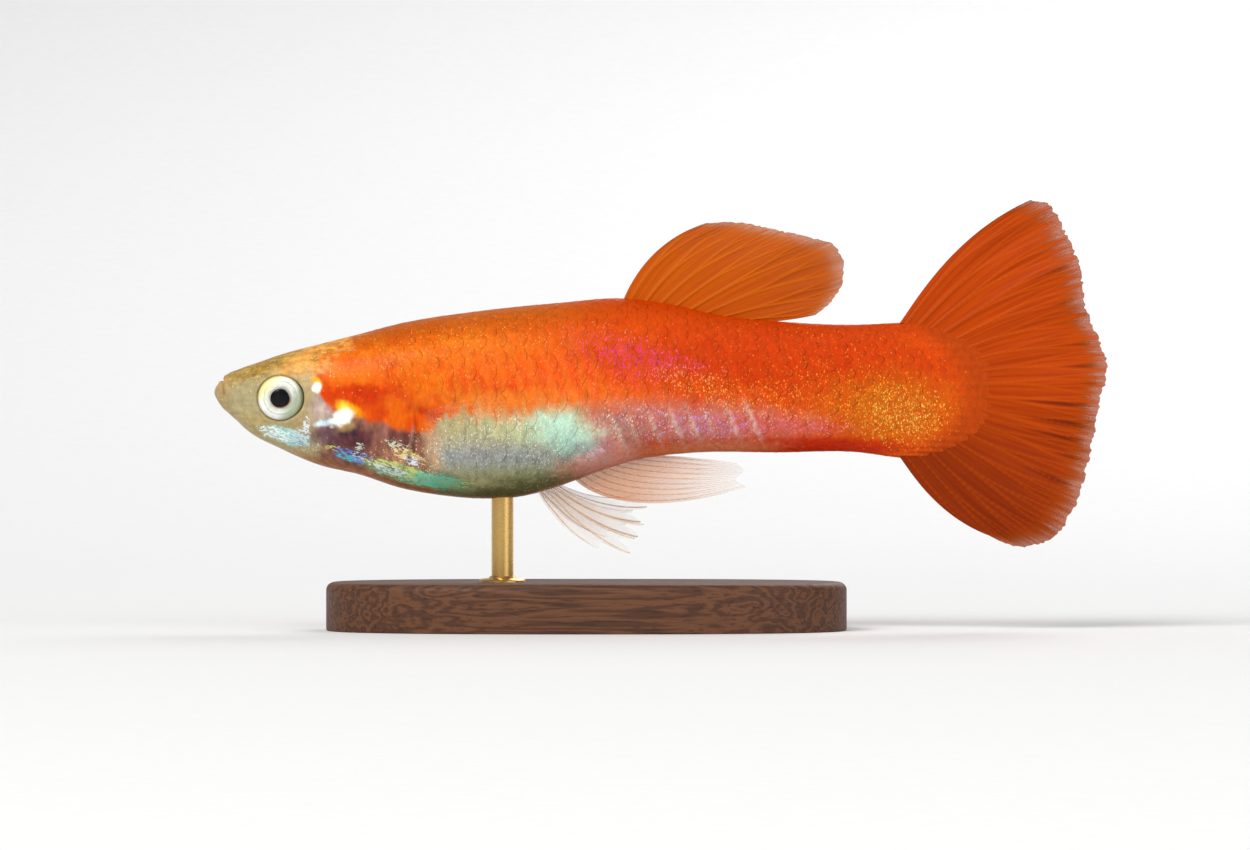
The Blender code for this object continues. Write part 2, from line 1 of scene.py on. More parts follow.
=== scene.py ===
"""Looks of a male guppy, 45 mm long, held over a wooden base by a brass rod.

Lengths in this script are millimetres in the fish's own frame: x runs back from the tip of the
snout, z up from a level line through the mouth, and the fish's left side is at -y. The skin is one
surface over head, body and tail; scales, fins, eyes and gill covers stand on the same formulas.
"""

import math

import bmesh
import bpy
import numpy as np
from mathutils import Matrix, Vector


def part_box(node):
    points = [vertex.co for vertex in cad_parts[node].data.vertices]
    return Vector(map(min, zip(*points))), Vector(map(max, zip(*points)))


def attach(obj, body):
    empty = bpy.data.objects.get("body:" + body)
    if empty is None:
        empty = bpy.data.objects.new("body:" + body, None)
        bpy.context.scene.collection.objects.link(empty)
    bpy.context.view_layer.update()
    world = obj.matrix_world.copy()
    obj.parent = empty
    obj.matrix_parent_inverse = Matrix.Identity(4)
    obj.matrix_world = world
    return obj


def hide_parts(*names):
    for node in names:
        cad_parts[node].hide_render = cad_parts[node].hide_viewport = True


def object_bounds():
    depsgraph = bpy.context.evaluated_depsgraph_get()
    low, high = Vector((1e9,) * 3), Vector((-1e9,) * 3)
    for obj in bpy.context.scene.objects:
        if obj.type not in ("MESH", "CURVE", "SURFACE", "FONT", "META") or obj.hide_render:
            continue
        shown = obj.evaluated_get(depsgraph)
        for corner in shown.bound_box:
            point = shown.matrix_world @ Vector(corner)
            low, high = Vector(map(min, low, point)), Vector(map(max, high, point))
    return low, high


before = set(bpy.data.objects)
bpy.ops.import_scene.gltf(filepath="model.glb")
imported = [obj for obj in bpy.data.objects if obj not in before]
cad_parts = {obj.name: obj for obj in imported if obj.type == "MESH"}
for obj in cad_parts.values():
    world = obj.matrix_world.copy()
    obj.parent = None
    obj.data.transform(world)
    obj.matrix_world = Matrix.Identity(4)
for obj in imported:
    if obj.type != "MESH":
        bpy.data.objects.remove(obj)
cad_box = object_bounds()

MM = 0.001
SIDES = ((-1, "left"), (1, "right"))

# The fish's frame in the model's: its snout at the model's front end, its level line from the eye's height
SNOUT_X = cad_box[0][0] / MM
EYE = (3.42, -0.4)
AXIS_HEIGHT = (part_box("eye_left")[0][2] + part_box("eye_left")[1][2]) / 2 / MM - EYE[1]

# Back and belly of the side view, as (x, z)
BACK = [
    (0.0, 0.36), (0.38, 0.5), (0.6, 0.74), (1.25, 1.05), (2.25, 1.4), (3.25, 1.75),
    (5.25, 2.29), (7.25, 2.8), (9.25, 3.32), (13.25, 3.95), (17.25, 4.36), (20.4, 4.58),
    (22.2, 4.4), (25.5, 3.72), (28.6, 3.4), (32.25, 3.27), (34.3, 3.38), (38.0, 3.7),
]
BELLY = [
    (0.0, -0.52), (0.35, -0.85), (0.75, -1.2), (1.75, -2.1), (3.25, -2.9), (5.25, -3.75),
    (7.25, -4.22), (9.25, -4.88), (11.25, -5.25), (13.25, -5.42), (15.25, -5.33),
    (17.25, -4.8), (19.25, -4.05), (21.25, -3.45), (23.75, -3.15), (28.25, -3.12),
    (32.25, -3.12), (34.1, -3.38), (38.0, -3.8),
]
# Half width, height of the widest place, and squareness above and below it, as (x, value)
HALF_WIDTH = [
    (0.0, 0.78), (0.6, 1.08), (1.25, 1.42), (2.25, 1.9), (3.4, 2.3), (5.25, 2.65), (8.0, 2.92),
    (12.0, 3.02), (15.0, 2.85), (18.0, 2.45), (21.0, 2.05), (25.0, 1.62), (29.0, 1.25),
    (33.0, 0.9), (35.5, 0.6), (38.0, 0.28),
]
WIDEST_HEIGHT = [
    (0.0, -0.12), (3.4, -0.35), (8.0, -0.7), (14.0, -0.9), (20.0, -0.2), (28.0, 0.1), (38.0, 0.0),
]
BACK_SQUARENESS = [(0.0, 2.3), (3.5, 2.7), (9.0, 2.3), (20.0, 2.05), (38.0, 2.0)]
BELLY_SQUARENESS = [(0.0, 2.2), (5.0, 2.1), (14.0, 2.25), (20.0, 1.95), (38.0, 2.0)]
# Length over which the snout rounds off
SNOUT_ROUNDING = 0.5

# Rear of the gill opening, and how the stations bend round it
GILL_REAR = 10.1
GILL_HEIGHT = -1.45
GILL_BEND = 0.1
GILL_SPREAD = 1.7

# The tail's stem, whose flesh ends in an arc that bulges back into the fin
STEM_START = 27.5
TAIL_ROOT = 34.4
TAIL_ROOT_BULGE = 3.25
TAIL_ROOT_ROUNDNESS = 0.75
TAIL_ROOT_HALF_DEPTH = 3.46
# Rings of the skin past the tail's root: how far back each lies, and its share of the width
TAIL_END = (
    (0.25, 0.88), (0.5, 0.76), (0.8, 0.63), (1.1, 0.51), (1.4, 0.4), (1.7, 0.3), (2.0, 0.2), (2.25, 0.08),
    (2.3, 0.0),
)
# Rays of the tail fin, before they part
TAIL_RAYS = 18

# Line of the mouth: its top as (x, z), its lean, the height of its corners, its groove, and its lips
MOUTH_TOP = (0.42, 0.5)
MOUTH_SLANT = 0.17
MOUTH_CORNER_HEIGHT = -0.34
MOUTH_DEPTH = 0.13
MOUTH_HALF_WIDTH = 0.05
LIP_HEIGHT = 0.05
# Nostrils: x, z and radius, and how far off the middle they lie at least
NOSTRILS = ((1.5, 0.5, 0.085), (2.02, 0.72, 0.07))
NOSTRIL_APART = 0.4

# Eye: radii of ball, rim, socket, fold and pupil, how far the ball stands out of the skin, half its
# thickness, its height over its length, and points around it
EYE_RADIUS = 1.17
EYE_RIM = 1.3
EYE_SOCKET = 1.2
EYE_FOLD = 1.75
EYE_PROUD = 0.3
EYE_HALF_THICKNESS = 0.82
EYE_FLATNESS = 0.96
PUPIL_RADIUS = 0.49
EYE_SIDES = 64
# Shoulder of the eyeball outside its flat iris, as (radius, outward height)
EYE_SHOULDER = [(1.168, 0.15), (1.148, 0.32), (1.1, 0.46), (1.0, 0.57)]
IRIS_DEPTH = 0.17
CORNEA_THICKNESS = 0.035

# Points in each ring of the skin, steps in which a station's bend is worked out, and length of a muscle block
AROUND = 280
BEND_STEPS = 14
MUSCLE_BLOCK = 1.05

# Scales: how many around the body, corners of each, distance of the columns, half length, how far each
# overlaps its neighbours above and below, how deep it is sunk, and how far its rear edge rises
SCALE_ROWS = 26
SCALE_SIDES = 20
SCALE_STEP = 0.5
SCALE_STATIONS = (6.0, 33.9)
SCALE_HALF_LENGTH = 0.68
SCALE_OVERLAP = 1.25
SCALE_SINK = 0.03
SCALE_RISE = 0.041

# Length of a fin ray's joints
RAY_JOINT = 0.34

# Painted shade of the tail fin's folds, dark lines that run in from the edge: height where each meets the
# edge, where it starts, and its half width
TAIL_FOLDS = [
    (2.4, 0.62, 0.006), (1.25, 0.5, 0.008), (0.3, 0.7, 0.005), (-0.85, 0.08, 0.008), (-1.9, 0.12, 0.008),
    (-2.7, 0.1, 0.007), (-3.6, 0.55, 0.006), (-5.0, 0.2, 0.008), (4.6, 0.6, 0.005), (6.4, 0.5, 0.006),
]

# Where the paired fins' roots lie
PELVIC_ROOT = 16.2
PECTORAL_ROOT = 10.75
PECTORAL_HEIGHTS = (-2.6, -1.15)

# Stand: how square the oval is, radius of its eased edge, outline of its foot as (inset, height), points
# around board and rod, how far the rod goes into board and belly, and the collar's outline as (radius,
# height over the board)
BOARD_SQUARENESS = 2.6
BOARD_EASE = 0.38
BOARD_FOOT = ((0.1, 0.0), (0.02, 0.03), (0.0, 0.12))
BOARD_SIDES = 160
ROD_SIDES = 48
ROD_IN_BOARD = 0.3
ROD_IN_BELLY = 0.6
COLLAR = ((0.5, 0.0), (1.15, 0.0), (1.15, 0.1), (1.06, 0.17), (0.7, 0.2), (0.62, 0.3), (0.5, 0.3))


def signed_power(value, power):
    """Power of the value's size, with the value's own sign."""
    return np.sign(value) * np.abs(value) ** power


def smooth(value):
    """Smoothstep: 0 below 0, 1 above 1."""
    value = np.clip(value, 0, 1)
    return value * value * (3 - 2 * value)


def bump(value, width):
    """Bell of height 1."""
    return np.exp(-((value / width) ** 2))


def hermite(knots, values):
    """Smooth function through the points: cubic pieces, each knot's slope taken from its neighbours."""
    knots, values = np.asarray(knots, float), np.asarray(values, float)
    slopes = np.gradient(values, knots, axis=0)

    def at(place):
        place = np.clip(np.asarray(place, float), knots[0], knots[-1])
        i = np.clip(np.searchsorted(knots, place, side="right") - 1, 0, len(knots) - 2)
        step = knots[i + 1] - knots[i]
        s = (place - knots[i]) / step
        weights = [2 * s**3 - 3 * s**2 + 1, (s**3 - 2 * s**2 + s) * step]
        weights += [3 * s**2 - 2 * s**3, (s**3 - s**2) * step]
        if values.ndim == 2:
            weights = [w[..., None] for w in weights]
        return sum(w * p for w, p in zip(weights, (values[i], slopes[i], values[i + 1], slopes[i + 1])))

    return at


def profile(points):
    """Smooth function through (x, value) pairs."""
    return hermite([p[0] for p in points], [p[1] for p in points])


def line_through(points):
    """Smooth line through the points, read by its share of the way along, 0 to 1."""
    points = np.asarray(points, float)
    along = np.concatenate([[0], np.cumsum(np.linalg.norm(np.diff(points, axis=0), axis=1))])
    return hermite(along / along[-1], points)


back, belly, half_width = profile(BACK), profile(BELLY), profile(HALF_WIDTH)
widest_height = profile(WIDEST_HEIGHT)
back_squareness, belly_squareness = profile(BACK_SQUARENESS), profile(BELLY_SQUARENESS)


def rounding(x):
    """Share of the section's full size near the tip of the snout: a quarter circle, then 1."""
    return np.sqrt(np.clip(1 - (1 - np.clip(x / SNOUT_ROUNDING, 0, 1)) ** 2, 1e-4, 1))


def tail_root(z):
    """Where the tail's flesh ends at height z: an arc that reaches furthest back at mid height."""
    share = np.clip(1 - (z / TAIL_ROOT_HALF_DEPTH) ** 2, 0, 1)
    return TAIL_ROOT + TAIL_ROOT_BULGE * share**TAIL_ROOT_ROUNDNESS


def section(x, angle):
    """y and z of the body's section at x: a superellipse, its angle counted up from the left side."""
    c, s = np.cos(angle), np.sin(angle)
    middle = widest_height(x)
    rise = np.where(s >= 0, back(x) - middle, middle - belly(x))
    power = 2 / np.where(s >= 0, back_squareness(x), belly_squareness(x))
    y = -half_width(x) * signed_power(c, power) * rounding(x)
    return y, middle + rise * signed_power(s, power) * rounding(x)


def side_y(x, z):
    """Half of the body's width at x and height z, from the section's own formula."""
    middle = widest_height(x)
    above = z >= middle
    rise = np.where(above, back(x) - middle, middle - belly(x))
    squareness = np.where(above, back_squareness(x), belly_squareness(x))
    share = np.clip(np.abs(z - middle) / rise, 0, 0.999)
    return half_width(x) * (1 - share**squareness) ** (1 / squareness) * rounding(x)


def body(station, angle):
    """Point of the plain body.

    Stations are planes across the fish that bend forwards above and below near the gill opening,
    x = station - bend (z - z0)^2, and bulge back into the tail's fleshy arc at the tail's root.
    As z hangs on x in turn, both are worked out by repeated steps.
    """
    station, angle = np.broadcast_arrays(np.asarray(station, float), angle)
    gill = GILL_BEND * bump(station - GILL_REAR, GILL_SPREAD)
    arc = smooth((station - STEM_START) / (TAIL_ROOT - STEM_START))
    x = station.copy()
    for _ in range(BEND_STEPS):
        y, z = section(x, angle)
        aim = station - gill * (z - GILL_HEIGHT) ** 2 + arc * (tail_root(z) - TAIL_ROOT)
        x = 0.4 * x + 0.6 * aim
    y, z = section(x, angle)
    return np.stack([x, y, z], axis=-1)


def surface(station, angle):
    """Point and outward normal of the plain body, the normal from two neighbouring points."""
    step = 0.01
    here = body(station, angle)
    along = body(np.asarray(station) + step, angle) - here
    around = body(station, np.asarray(angle) + step) - here
    normal = np.cross(along, around)
    length = np.maximum(np.linalg.norm(normal, axis=-1, keepdims=True), 1e-9)
    return here, normal / length


def mouth_relief(x, z):
    """Two lips as bells on either side of the mouth's slanting groove, and a fold from its corner.

    The fold runs down and back from the corner and fades out at both ends.
    """
    off = x - MOUTH_TOP[0] - MOUTH_SLANT * (MOUTH_TOP[1] - z)
    window = smooth((z - MOUTH_CORNER_HEIGHT + 0.1) / 0.25)
    lips = LIP_HEIGHT * bump(np.abs(off) - 0.15, 0.09)
    mouth = window * (lips - MOUTH_DEPTH * bump(off, MOUTH_HALF_WIDTH))
    fold = x - 0.62 - 0.55 * (-0.55 - z)
    return mouth - 0.05 * bump(fold, 0.07) * smooth((-0.5 - z) / 0.3) * smooth((z + 1.75) / 0.5)


def nostril_relief(x, y, z):
    """A raised ring and a pit for each nostril, as bells of the distance from it, away from the middle."""
    height = 0 * x
    for nostril_x, nostril_z, size in NOSTRILS:
        r = np.hypot(x - nostril_x, z - nostril_z) + np.where(y < NOSTRIL_APART, 9, 0)
        height += 0.035 * bump(r - 2 * size, 0.7 * size) - 0.13 * bump(r, size)
    return height


def eye_relief(x, z):
    """The rim that holds the eye, the socket inside it, and a fold round the eye behind and under it."""
    r = np.hypot(x - EYE[0], (z - EYE[1]) / EYE_FLATNESS)
    rim = 0.07 * bump(r - EYE_RIM, 0.13) - 0.85 * smooth((EYE_SOCKET - r) / 0.12)
    return rim - 0.04 * bump(r - EYE_FOLD, 0.09) * smooth((x - 3.0) / 0.6) * smooth((-z + 0.4) / 0.5)


def gill_relief(station, x, z):
    """The gill cover swells towards its free rear edge and drops sharply behind it.

    A slanting groove parts its front plate from the rest, and waves along x + 1.4 z rib its lower edge.
    """
    window = smooth((z + 4.4) / 0.7) * smooth((-0.5 - z) / 1.5)
    before = smooth((station - 6.2) / 2.6) * (station <= GILL_REAR)
    behind = (station > GILL_REAR) * smooth((GILL_REAR + 0.34 - station) / 0.3)
    cover = window * (0.1 * before - 0.12 * behind)
    groove = 0.03 * bump(x - 8.05 - 0.3 * (z + 2.4), 0.1) * window
    ribs = 0.012 * np.sin((x + 1.4 * z) * 9.0) * bump(z + 3.7, 0.35) * bump(x - 7.3, 1.1)
    return cover - groove + ribs


def flank_relief(x, z):
    """Muscle blocks: faint bands along the flank that bend at mid height, a sine along x."""
    bands = np.sin((x + 0.35 * np.abs(z + 0.3)) * 2 * math.pi / MUSCLE_BLOCK)
    return 0.012 * bands * smooth((x - 11.0) / 3) * smooth((34.0 - x) / 4) * bump(z, 2.6)


def relief(station, point):
    """Height of the skin's own forms over the plain body, the sum of what mouth, eye and others add."""
    x, y, z = point[..., 0], np.abs(point[..., 1]), point[..., 2]
    height = mouth_relief(x, z) + nostril_relief(x, y, z) + eye_relief(x, z)
    return height + gill_relief(station, x, z) + flank_relief(x, z)


def skin_stations():
    """Where the skin's rings stand: closest at the mouth, the eye and the gill opening."""
    runs = [
        (0.004, 0.1, 5), (0.1, 0.95, 30), (0.95, 2.0, 16), (2.0, 4.75, 60), (4.75, 9.7, 72),
        (9.7, GILL_REAR, 8), (GILL_REAR + 0.012, 10.5, 9), (10.5, 27.0, 86), (27.0, TAIL_ROOT, 40),
    ]
    return np.concatenate([np.linspace(a, b, n, endpoint=False) for a, b, n in runs] + [[TAIL_ROOT]])


def to_model(points):
    """Fish millimetres as the model's metres."""
    return (np.asarray(points, float) + (SNOUT_X, 0.0, AXIS_HEIGHT)) * MM


def from_model(piece):
    """The piece's points in fish millimetres."""
    places = np.empty(3 * len(piece.data.vertices))
    piece.data.vertices.foreach_get("co", places)
    return places.reshape(-1, 3) / MM - (SNOUT_X, 0.0, AXIS_HEIGHT)


def add_mesh(name, points, faces, finish, turn_out=False):
    """New smooth-shaded object at the origin, its place in its mesh.

    With turn_out, points that meet are merged, which shuts poles and seams, and faces turn outwards.
    """
    mesh = bpy.data.meshes.new(name)
    mesh.from_pydata(to_model(points).tolist(), [], faces)
    if turn_out:
        shape = bmesh.new()
        shape.from_mesh(mesh)
        bmesh.ops.remove_doubles(shape, verts=shape.verts, dist=1e-8)
        loose = [edge for edge in shape.edges if not edge.link_faces]
        bmesh.ops.delete(shape, geom=loose, context="EDGES")
        bmesh.ops.recalc_face_normals(shape, faces=shape.faces)
        shape.to_mesh(mesh)
        shape.free()
    mesh.shade_smooth()
    mesh.materials.append(finish)
    piece = bpy.data.objects.new(name, mesh)
    bpy.context.scene.collection.objects.link(piece)
    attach(piece, "root")
    return piece


def grid_faces(rows, columns, wrap=False):
    """Quads of a rows by columns grid of points, joined round along its columns if it wraps."""
    i, j = np.meshgrid(np.arange(rows - 1), np.arange(columns if wrap else columns - 1), indexing="ij")
    k = (j + 1) % columns
    near, far = i * columns, (i + 1) * columns
    return np.stack([near + j, near + k, far + k, far + j], axis=-1).reshape(-1, 4)


def set_point_values(piece, name, values):
    """Float attribute on the points, for a material to read."""
    layer = piece.data.attributes.new(name, "FLOAT", "POINT")
    layer.data.foreach_set("value", np.asarray(values, np.float32).ravel())


def set_uv(piece, name, uv):
    """UV map from one (u, v) for each point."""
    corners = np.empty(len(piece.data.loops), np.int32)
    piece.data.loops.foreach_get("vertex_index", corners)
    layer = piece.data.uv_layers.new(name=name)
    layer.data.foreach_set("uv", np.asarray(uv, np.float32).reshape(-1, 2)[corners].ravel())


def tail_base():
    """Line of the tail fin's root, just inside the flesh's rear arc, from the top ray to the lowest."""
    heights = np.linspace(0.985, -0.985, 15) * TAIL_ROOT_HALF_DEPTH
    return line_through([(float(tail_root(z)) - 0.35, z * 0.99) for z in heights])


def ray_share(z):
    """Share of the way along the tail fin's root at height z."""
    shares = np.linspace(1, 0, 200)
    return np.interp(z, tail_base()(shares)[:, 1], shares)


def make_skin(finish):
    """One skin over head, body and tail: rings of the body's surface, raised by the relief.

    A point is the plain body's, plus its outward normal times the relief and times the low ridges
    that run on from the tail fin's rays. A point at the snout's tip shuts the first ring.
    """
    stations = skin_stations()
    angles = np.linspace(0, 2 * math.pi, AROUND, endpoint=False)
    station, angle = np.meshgrid(stations, angles, indexing="ij")
    plain, normal = surface(station, angle)
    ridges = bump((ray_share(plain[..., 2]) * TAIL_RAYS) % 1.0 - 0.5, 0.2)
    ridges = 0.045 * (ridges - 0.3) * smooth((station - 32.8) / 1.6)
    points = plain + (relief(station, plain) + ridges)[..., None] * normal
    # The flesh thins out over the fin's root in more rings, alike on both sides, the last one shut
    around = np.arange(AROUND)
    last = (points[-1] + points[-1][(AROUND // 2 - around) % AROUND] * (1, -1, 1)) / 2
    thin = [last * (1, share, 1) + (reach, 0, 0) for reach, share in TAIL_END]
    points = np.concatenate([points, thin])
    rows = len(points)
    faces = grid_faces(rows, AROUND, wrap=True)[:, ::-1]
    tip = np.array([[0.0, 0.0, float(widest_height(0.0))]])
    cap = np.stack([np.full(AROUND, rows * AROUND), (around + 1) % AROUND, around], axis=-1)
    everything = np.concatenate([points.reshape(-1, 3), tip])
    skin = add_mesh("skin", everything, faces.tolist() + cap.tolist(), finish, turn_out=True)
    paint_mesh(skin, from_model(skin))
    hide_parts("head", "torso", "tail", "gill_cover_left", "gill_cover_right")
    return skin


class Graph:
    """A material's or group's nodes, built by short calls. An input may be a socket or a plain value.

    Each call adds one node and gives back its output, apart from feed, which links or sets an input.
    """

    def __init__(self, tree):
        self.tree = tree

    def node(self, kind, inputs=None, **settings):
        made = self.tree.nodes.new(kind)
        for key, value in settings.items():
            setattr(made, key, value)
        for key, value in (inputs or {}).items():
            self.feed(made.inputs[key], value)
        return made

    def feed(self, socket, value):
        if isinstance(value, bpy.types.NodeSocket):
            self.tree.links.new(value, socket)
        else:
            socket.default_value = value

    def math(self, operation, a, b=0.0, clamp=False):
        made = self.node("ShaderNodeMath", {0: a, 1: b}, operation=operation, use_clamp=clamp)
        return made.outputs[0]

    def times(self, a, b):
        return self.math("MULTIPLY", a, b)

    def plus(self, a, b, clamp=False):
        return self.math("ADD", a, b, clamp)

    def minus(self, a, b):
        return self.math("SUBTRACT", a, b)

    def ease(self, value, low, high, start=0.0, end=1.0):
        """Smoothstep from start to end as value goes from low to high."""
        inputs = {"Value": value, "From Min": low, "From Max": high, "To Min": start, "To Max": end}
        return self.node("ShaderNodeMapRange", inputs, interpolation_type="SMOOTHSTEP").outputs[0]

    def mix(self, factor, a, b):
        return self.node("ShaderNodeMix", {0: factor, 6: a, 7: b}, data_type="RGBA").outputs[2]

    def group(self, tree, inputs):
        made = self.node("ShaderNodeGroup", node_tree=tree)
        for key, value in inputs.items():
            self.feed(made.inputs[key], value)
        return made.outputs

    def noise(self, place, scale, detail=2.0, rough=0.5):
        inputs = {"Vector": place, "Scale": scale, "Detail": detail, "Roughness": rough}
        return self.node("ShaderNodeTexNoise", inputs).outputs["Fac"]

    def scaled(self, place, factors):
        return self.node("ShaderNodeVectorMath", {0: place, 1: factors}, operation="MULTIPLY").outputs[0]

    def bump(self, height, strength, distance):
        inputs = {"Height": height, "Strength": strength, "Distance": distance}
        return self.node("ShaderNodeBump", inputs).outputs[0]

    def stored(self, name, output="Fac"):
        """Value or colour stored on the piece's points."""
        return self.node("ShaderNodeAttribute", attribute_name=name).outputs[output]

    def millimetres(self):
        """Object coordinates, in millimetres."""
        return self.scaled(self.node("ShaderNodeTexCoord").outputs["Object"], (1 / MM,) * 3)


def new_group(name, inputs, outputs):
    """Node group with named sockets: its graph, its inputs by name, and the sockets of its output."""
    tree = bpy.data.node_groups.new(name, "ShaderNodeTree")
    for label, kind, value in inputs:
        socket = tree.interface.new_socket(label, in_out="INPUT", socket_type="NodeSocket" + kind)
        if value is not None:
            socket.default_value = value
    for label, kind in outputs:
        tree.interface.new_socket(label, in_out="OUTPUT", socket_type="NodeSocket" + kind)
    graph = Graph(tree)
    return graph, graph.node("NodeGroupInput").outputs, graph.node("NodeGroupOutput").inputs


def rgb(red, green, blue):
    """Colour from 0 to 255 as seen on screen, as the linear values that shaders take."""
    values = []
    for part in (red, green, blue):
        part = part / 255
        values.append(part / 12.92 if part <= 0.04045 else ((part + 0.055) / 1.055) ** 2.4)
    return (*values, 1.0)


def fish_place_group():
    """Object coordinates as the fish's own millimetres, and its x and height apart."""
    graph, _, out = new_group("fish_place", [], [("Place", "Vector"), ("X", "Float"), ("Z", "Float")])
    where = graph.node("ShaderNodeTexCoord").outputs["Object"]
    inputs = {0: where, 1: (1 / MM,) * 3, 2: (-SNOUT_X, 0, -AXIS_HEIGHT)}
    place = graph.node("ShaderNodeVectorMath", inputs, operation="MULTIPLY_ADD").outputs[0]
    parts = graph.node("ShaderNodeSeparateXYZ", {0: place}).outputs
    for key, value in (("Place", place), ("X", parts[0]), ("Z", parts[2])):
        graph.feed(out[key], value)
    return graph.tree


def glitter_group():
    """Bright specks: cells of a given size, a share of them lit, each fading from its middle."""
    inputs = [("Place", "Vector", None), ("Cells per mm", "Float", 9.0), ("Share", "Float", 0.3)]
    graph, given, out = new_group("glitter", inputs, [("Mask", "Float"), ("Tint", "Float")])
    stretched = graph.scaled(given["Place"], (1.0, 1.0, 0.62))
    cells = graph.node("ShaderNodeTexVoronoi", {"Vector": stretched, "Scale": given["Cells per mm"]})
    random = graph.node("ShaderNodeSeparateColor", {0: cells.outputs["Color"]}).outputs
    lit = graph.ease(random[0], graph.minus(1.0, given["Share"]), 1.02)
    near = graph.ease(cells.outputs["Distance"], 0.1, 0.62, 1.0, 0.0)
    graph.feed(out["Mask"], graph.times(lit, near))
    graph.feed(out["Tint"], random[1])
    return graph.tree


# Where the orange stops: its front border as (z, x), and its lower border as (x, z)
ORANGE_FRONT = [(-1.0, 5.0), (0.35, 4.97), (1.03, 5.12), (1.85, 5.5), (2.6, 6.55), (3.4, 7.6)]
ORANGE_LOW = [
    (4.6, 0.2), (5.0, 0.0), (5.3, -0.4), (5.6, -0.82), (6.2, -1.08), (6.8, -1.15), (7.75, -1.62),
    (8.6, -1.75), (9.5, -1.95), (10.4, -2.12), (10.9, -1.95), (11.3, -1.38), (12.5, -1.15), (13.6, -1.3),
    (14.9, -1.55), (15.6, -1.3), (16.3, -1.08), (17.5, -1.0), (18.5, -1.15), (19.5, -1.7), (20.5, -2.5),
    (21.5, -3.3), (23.0, -4.2),
]

# Patches of colour in the orange, bottom layer first: x, z, half length, half height, turn in degrees
# (positive rises towards the tail), softness, raggedness, 1 for mirror-like flakes, colour, strength
FLANK_PATCHES = [
    (11.5, 1.5, 5.0, 1.2, 5, 0.6, 0.6, 0, (252, 120, 12), 0.75),
    (6.7, 1.2, 1.5, 0.95, 20, 0.5, 0.6, 0, (250, 116, 10), 0.8),
    (16.5, 0.5, 4.4, 1.1, -3, 0.7, 0.5, 0, (255, 82, 4), 0.75),
    (28.5, 1.5, 8.0, 1.7, -2, 0.6, 0.4, 0, (212, 60, 0), 0.9),
    (7.7, -0.25, 1.25, 0.5, -5, 0.6, 1.1, 0, (206, 46, 0), 0.85),
    (6.1, -0.35, 0.7, 0.35, -10, 0.6, 1.1, 0, (224, 66, 2), 0.8),
    (9.8, -0.55, 1.1, 0.55, -20, 0.6, 1.1, 0, (214, 52, 0), 0.8),
    (8.9, 0.5, 0.35, 0.9, 10, 0.8, 0.8, 0, (226, 70, 2), 0.45),
    (13.2, 0.3, 1.2, 0.5, -30, 0.7, 1.2, 0, (240, 72, 2), 0.6),
    (10.7, -1.55, 0.6, 0.42, 0, 0.5, 0.4, 0, (240, 98, 6), 0.8),
    (10.35, -0.98, 0.6, 0.15, -22, 0.9, 0.6, 0, (168, 28, 0), 0.7),
    (10.95, -1.35, 0.13, 0.34, 15, 0.7, 0.5, 0, (196, 44, 0), 0.7),
    (15.5, -0.6, 5.2, 0.55, -1, 0.6, 1.0, 0, (255, 138, 48), 0.6),
    (19.5, -0.4, 2.6, 0.7, -6, 0.7, 0.8, 0, (255, 112, 40), 0.6),
    (23.8, -1.7, 5.0, 1.0, -2, 0.6, 0.8, 0, (214, 132, 134), 0.85),
    (20.1, -2.1, 1.5, 1.0, -20, 0.8, 1.0, 0, (190, 136, 140), 0.8),
    (28.0, -1.7, 3.0, 0.65, -2, 0.7, 1.0, 0, (228, 92, 80), 0.6),
    (34.0, -1.1, 3.2, 1.7, -4, 0.8, 0.8, 0, (210, 104, 6), 0.75),
    (30.6, -2.8, 4.2, 0.42, -1, 0.5, 0.4, 0, (204, 38, 3), 0.9),
]

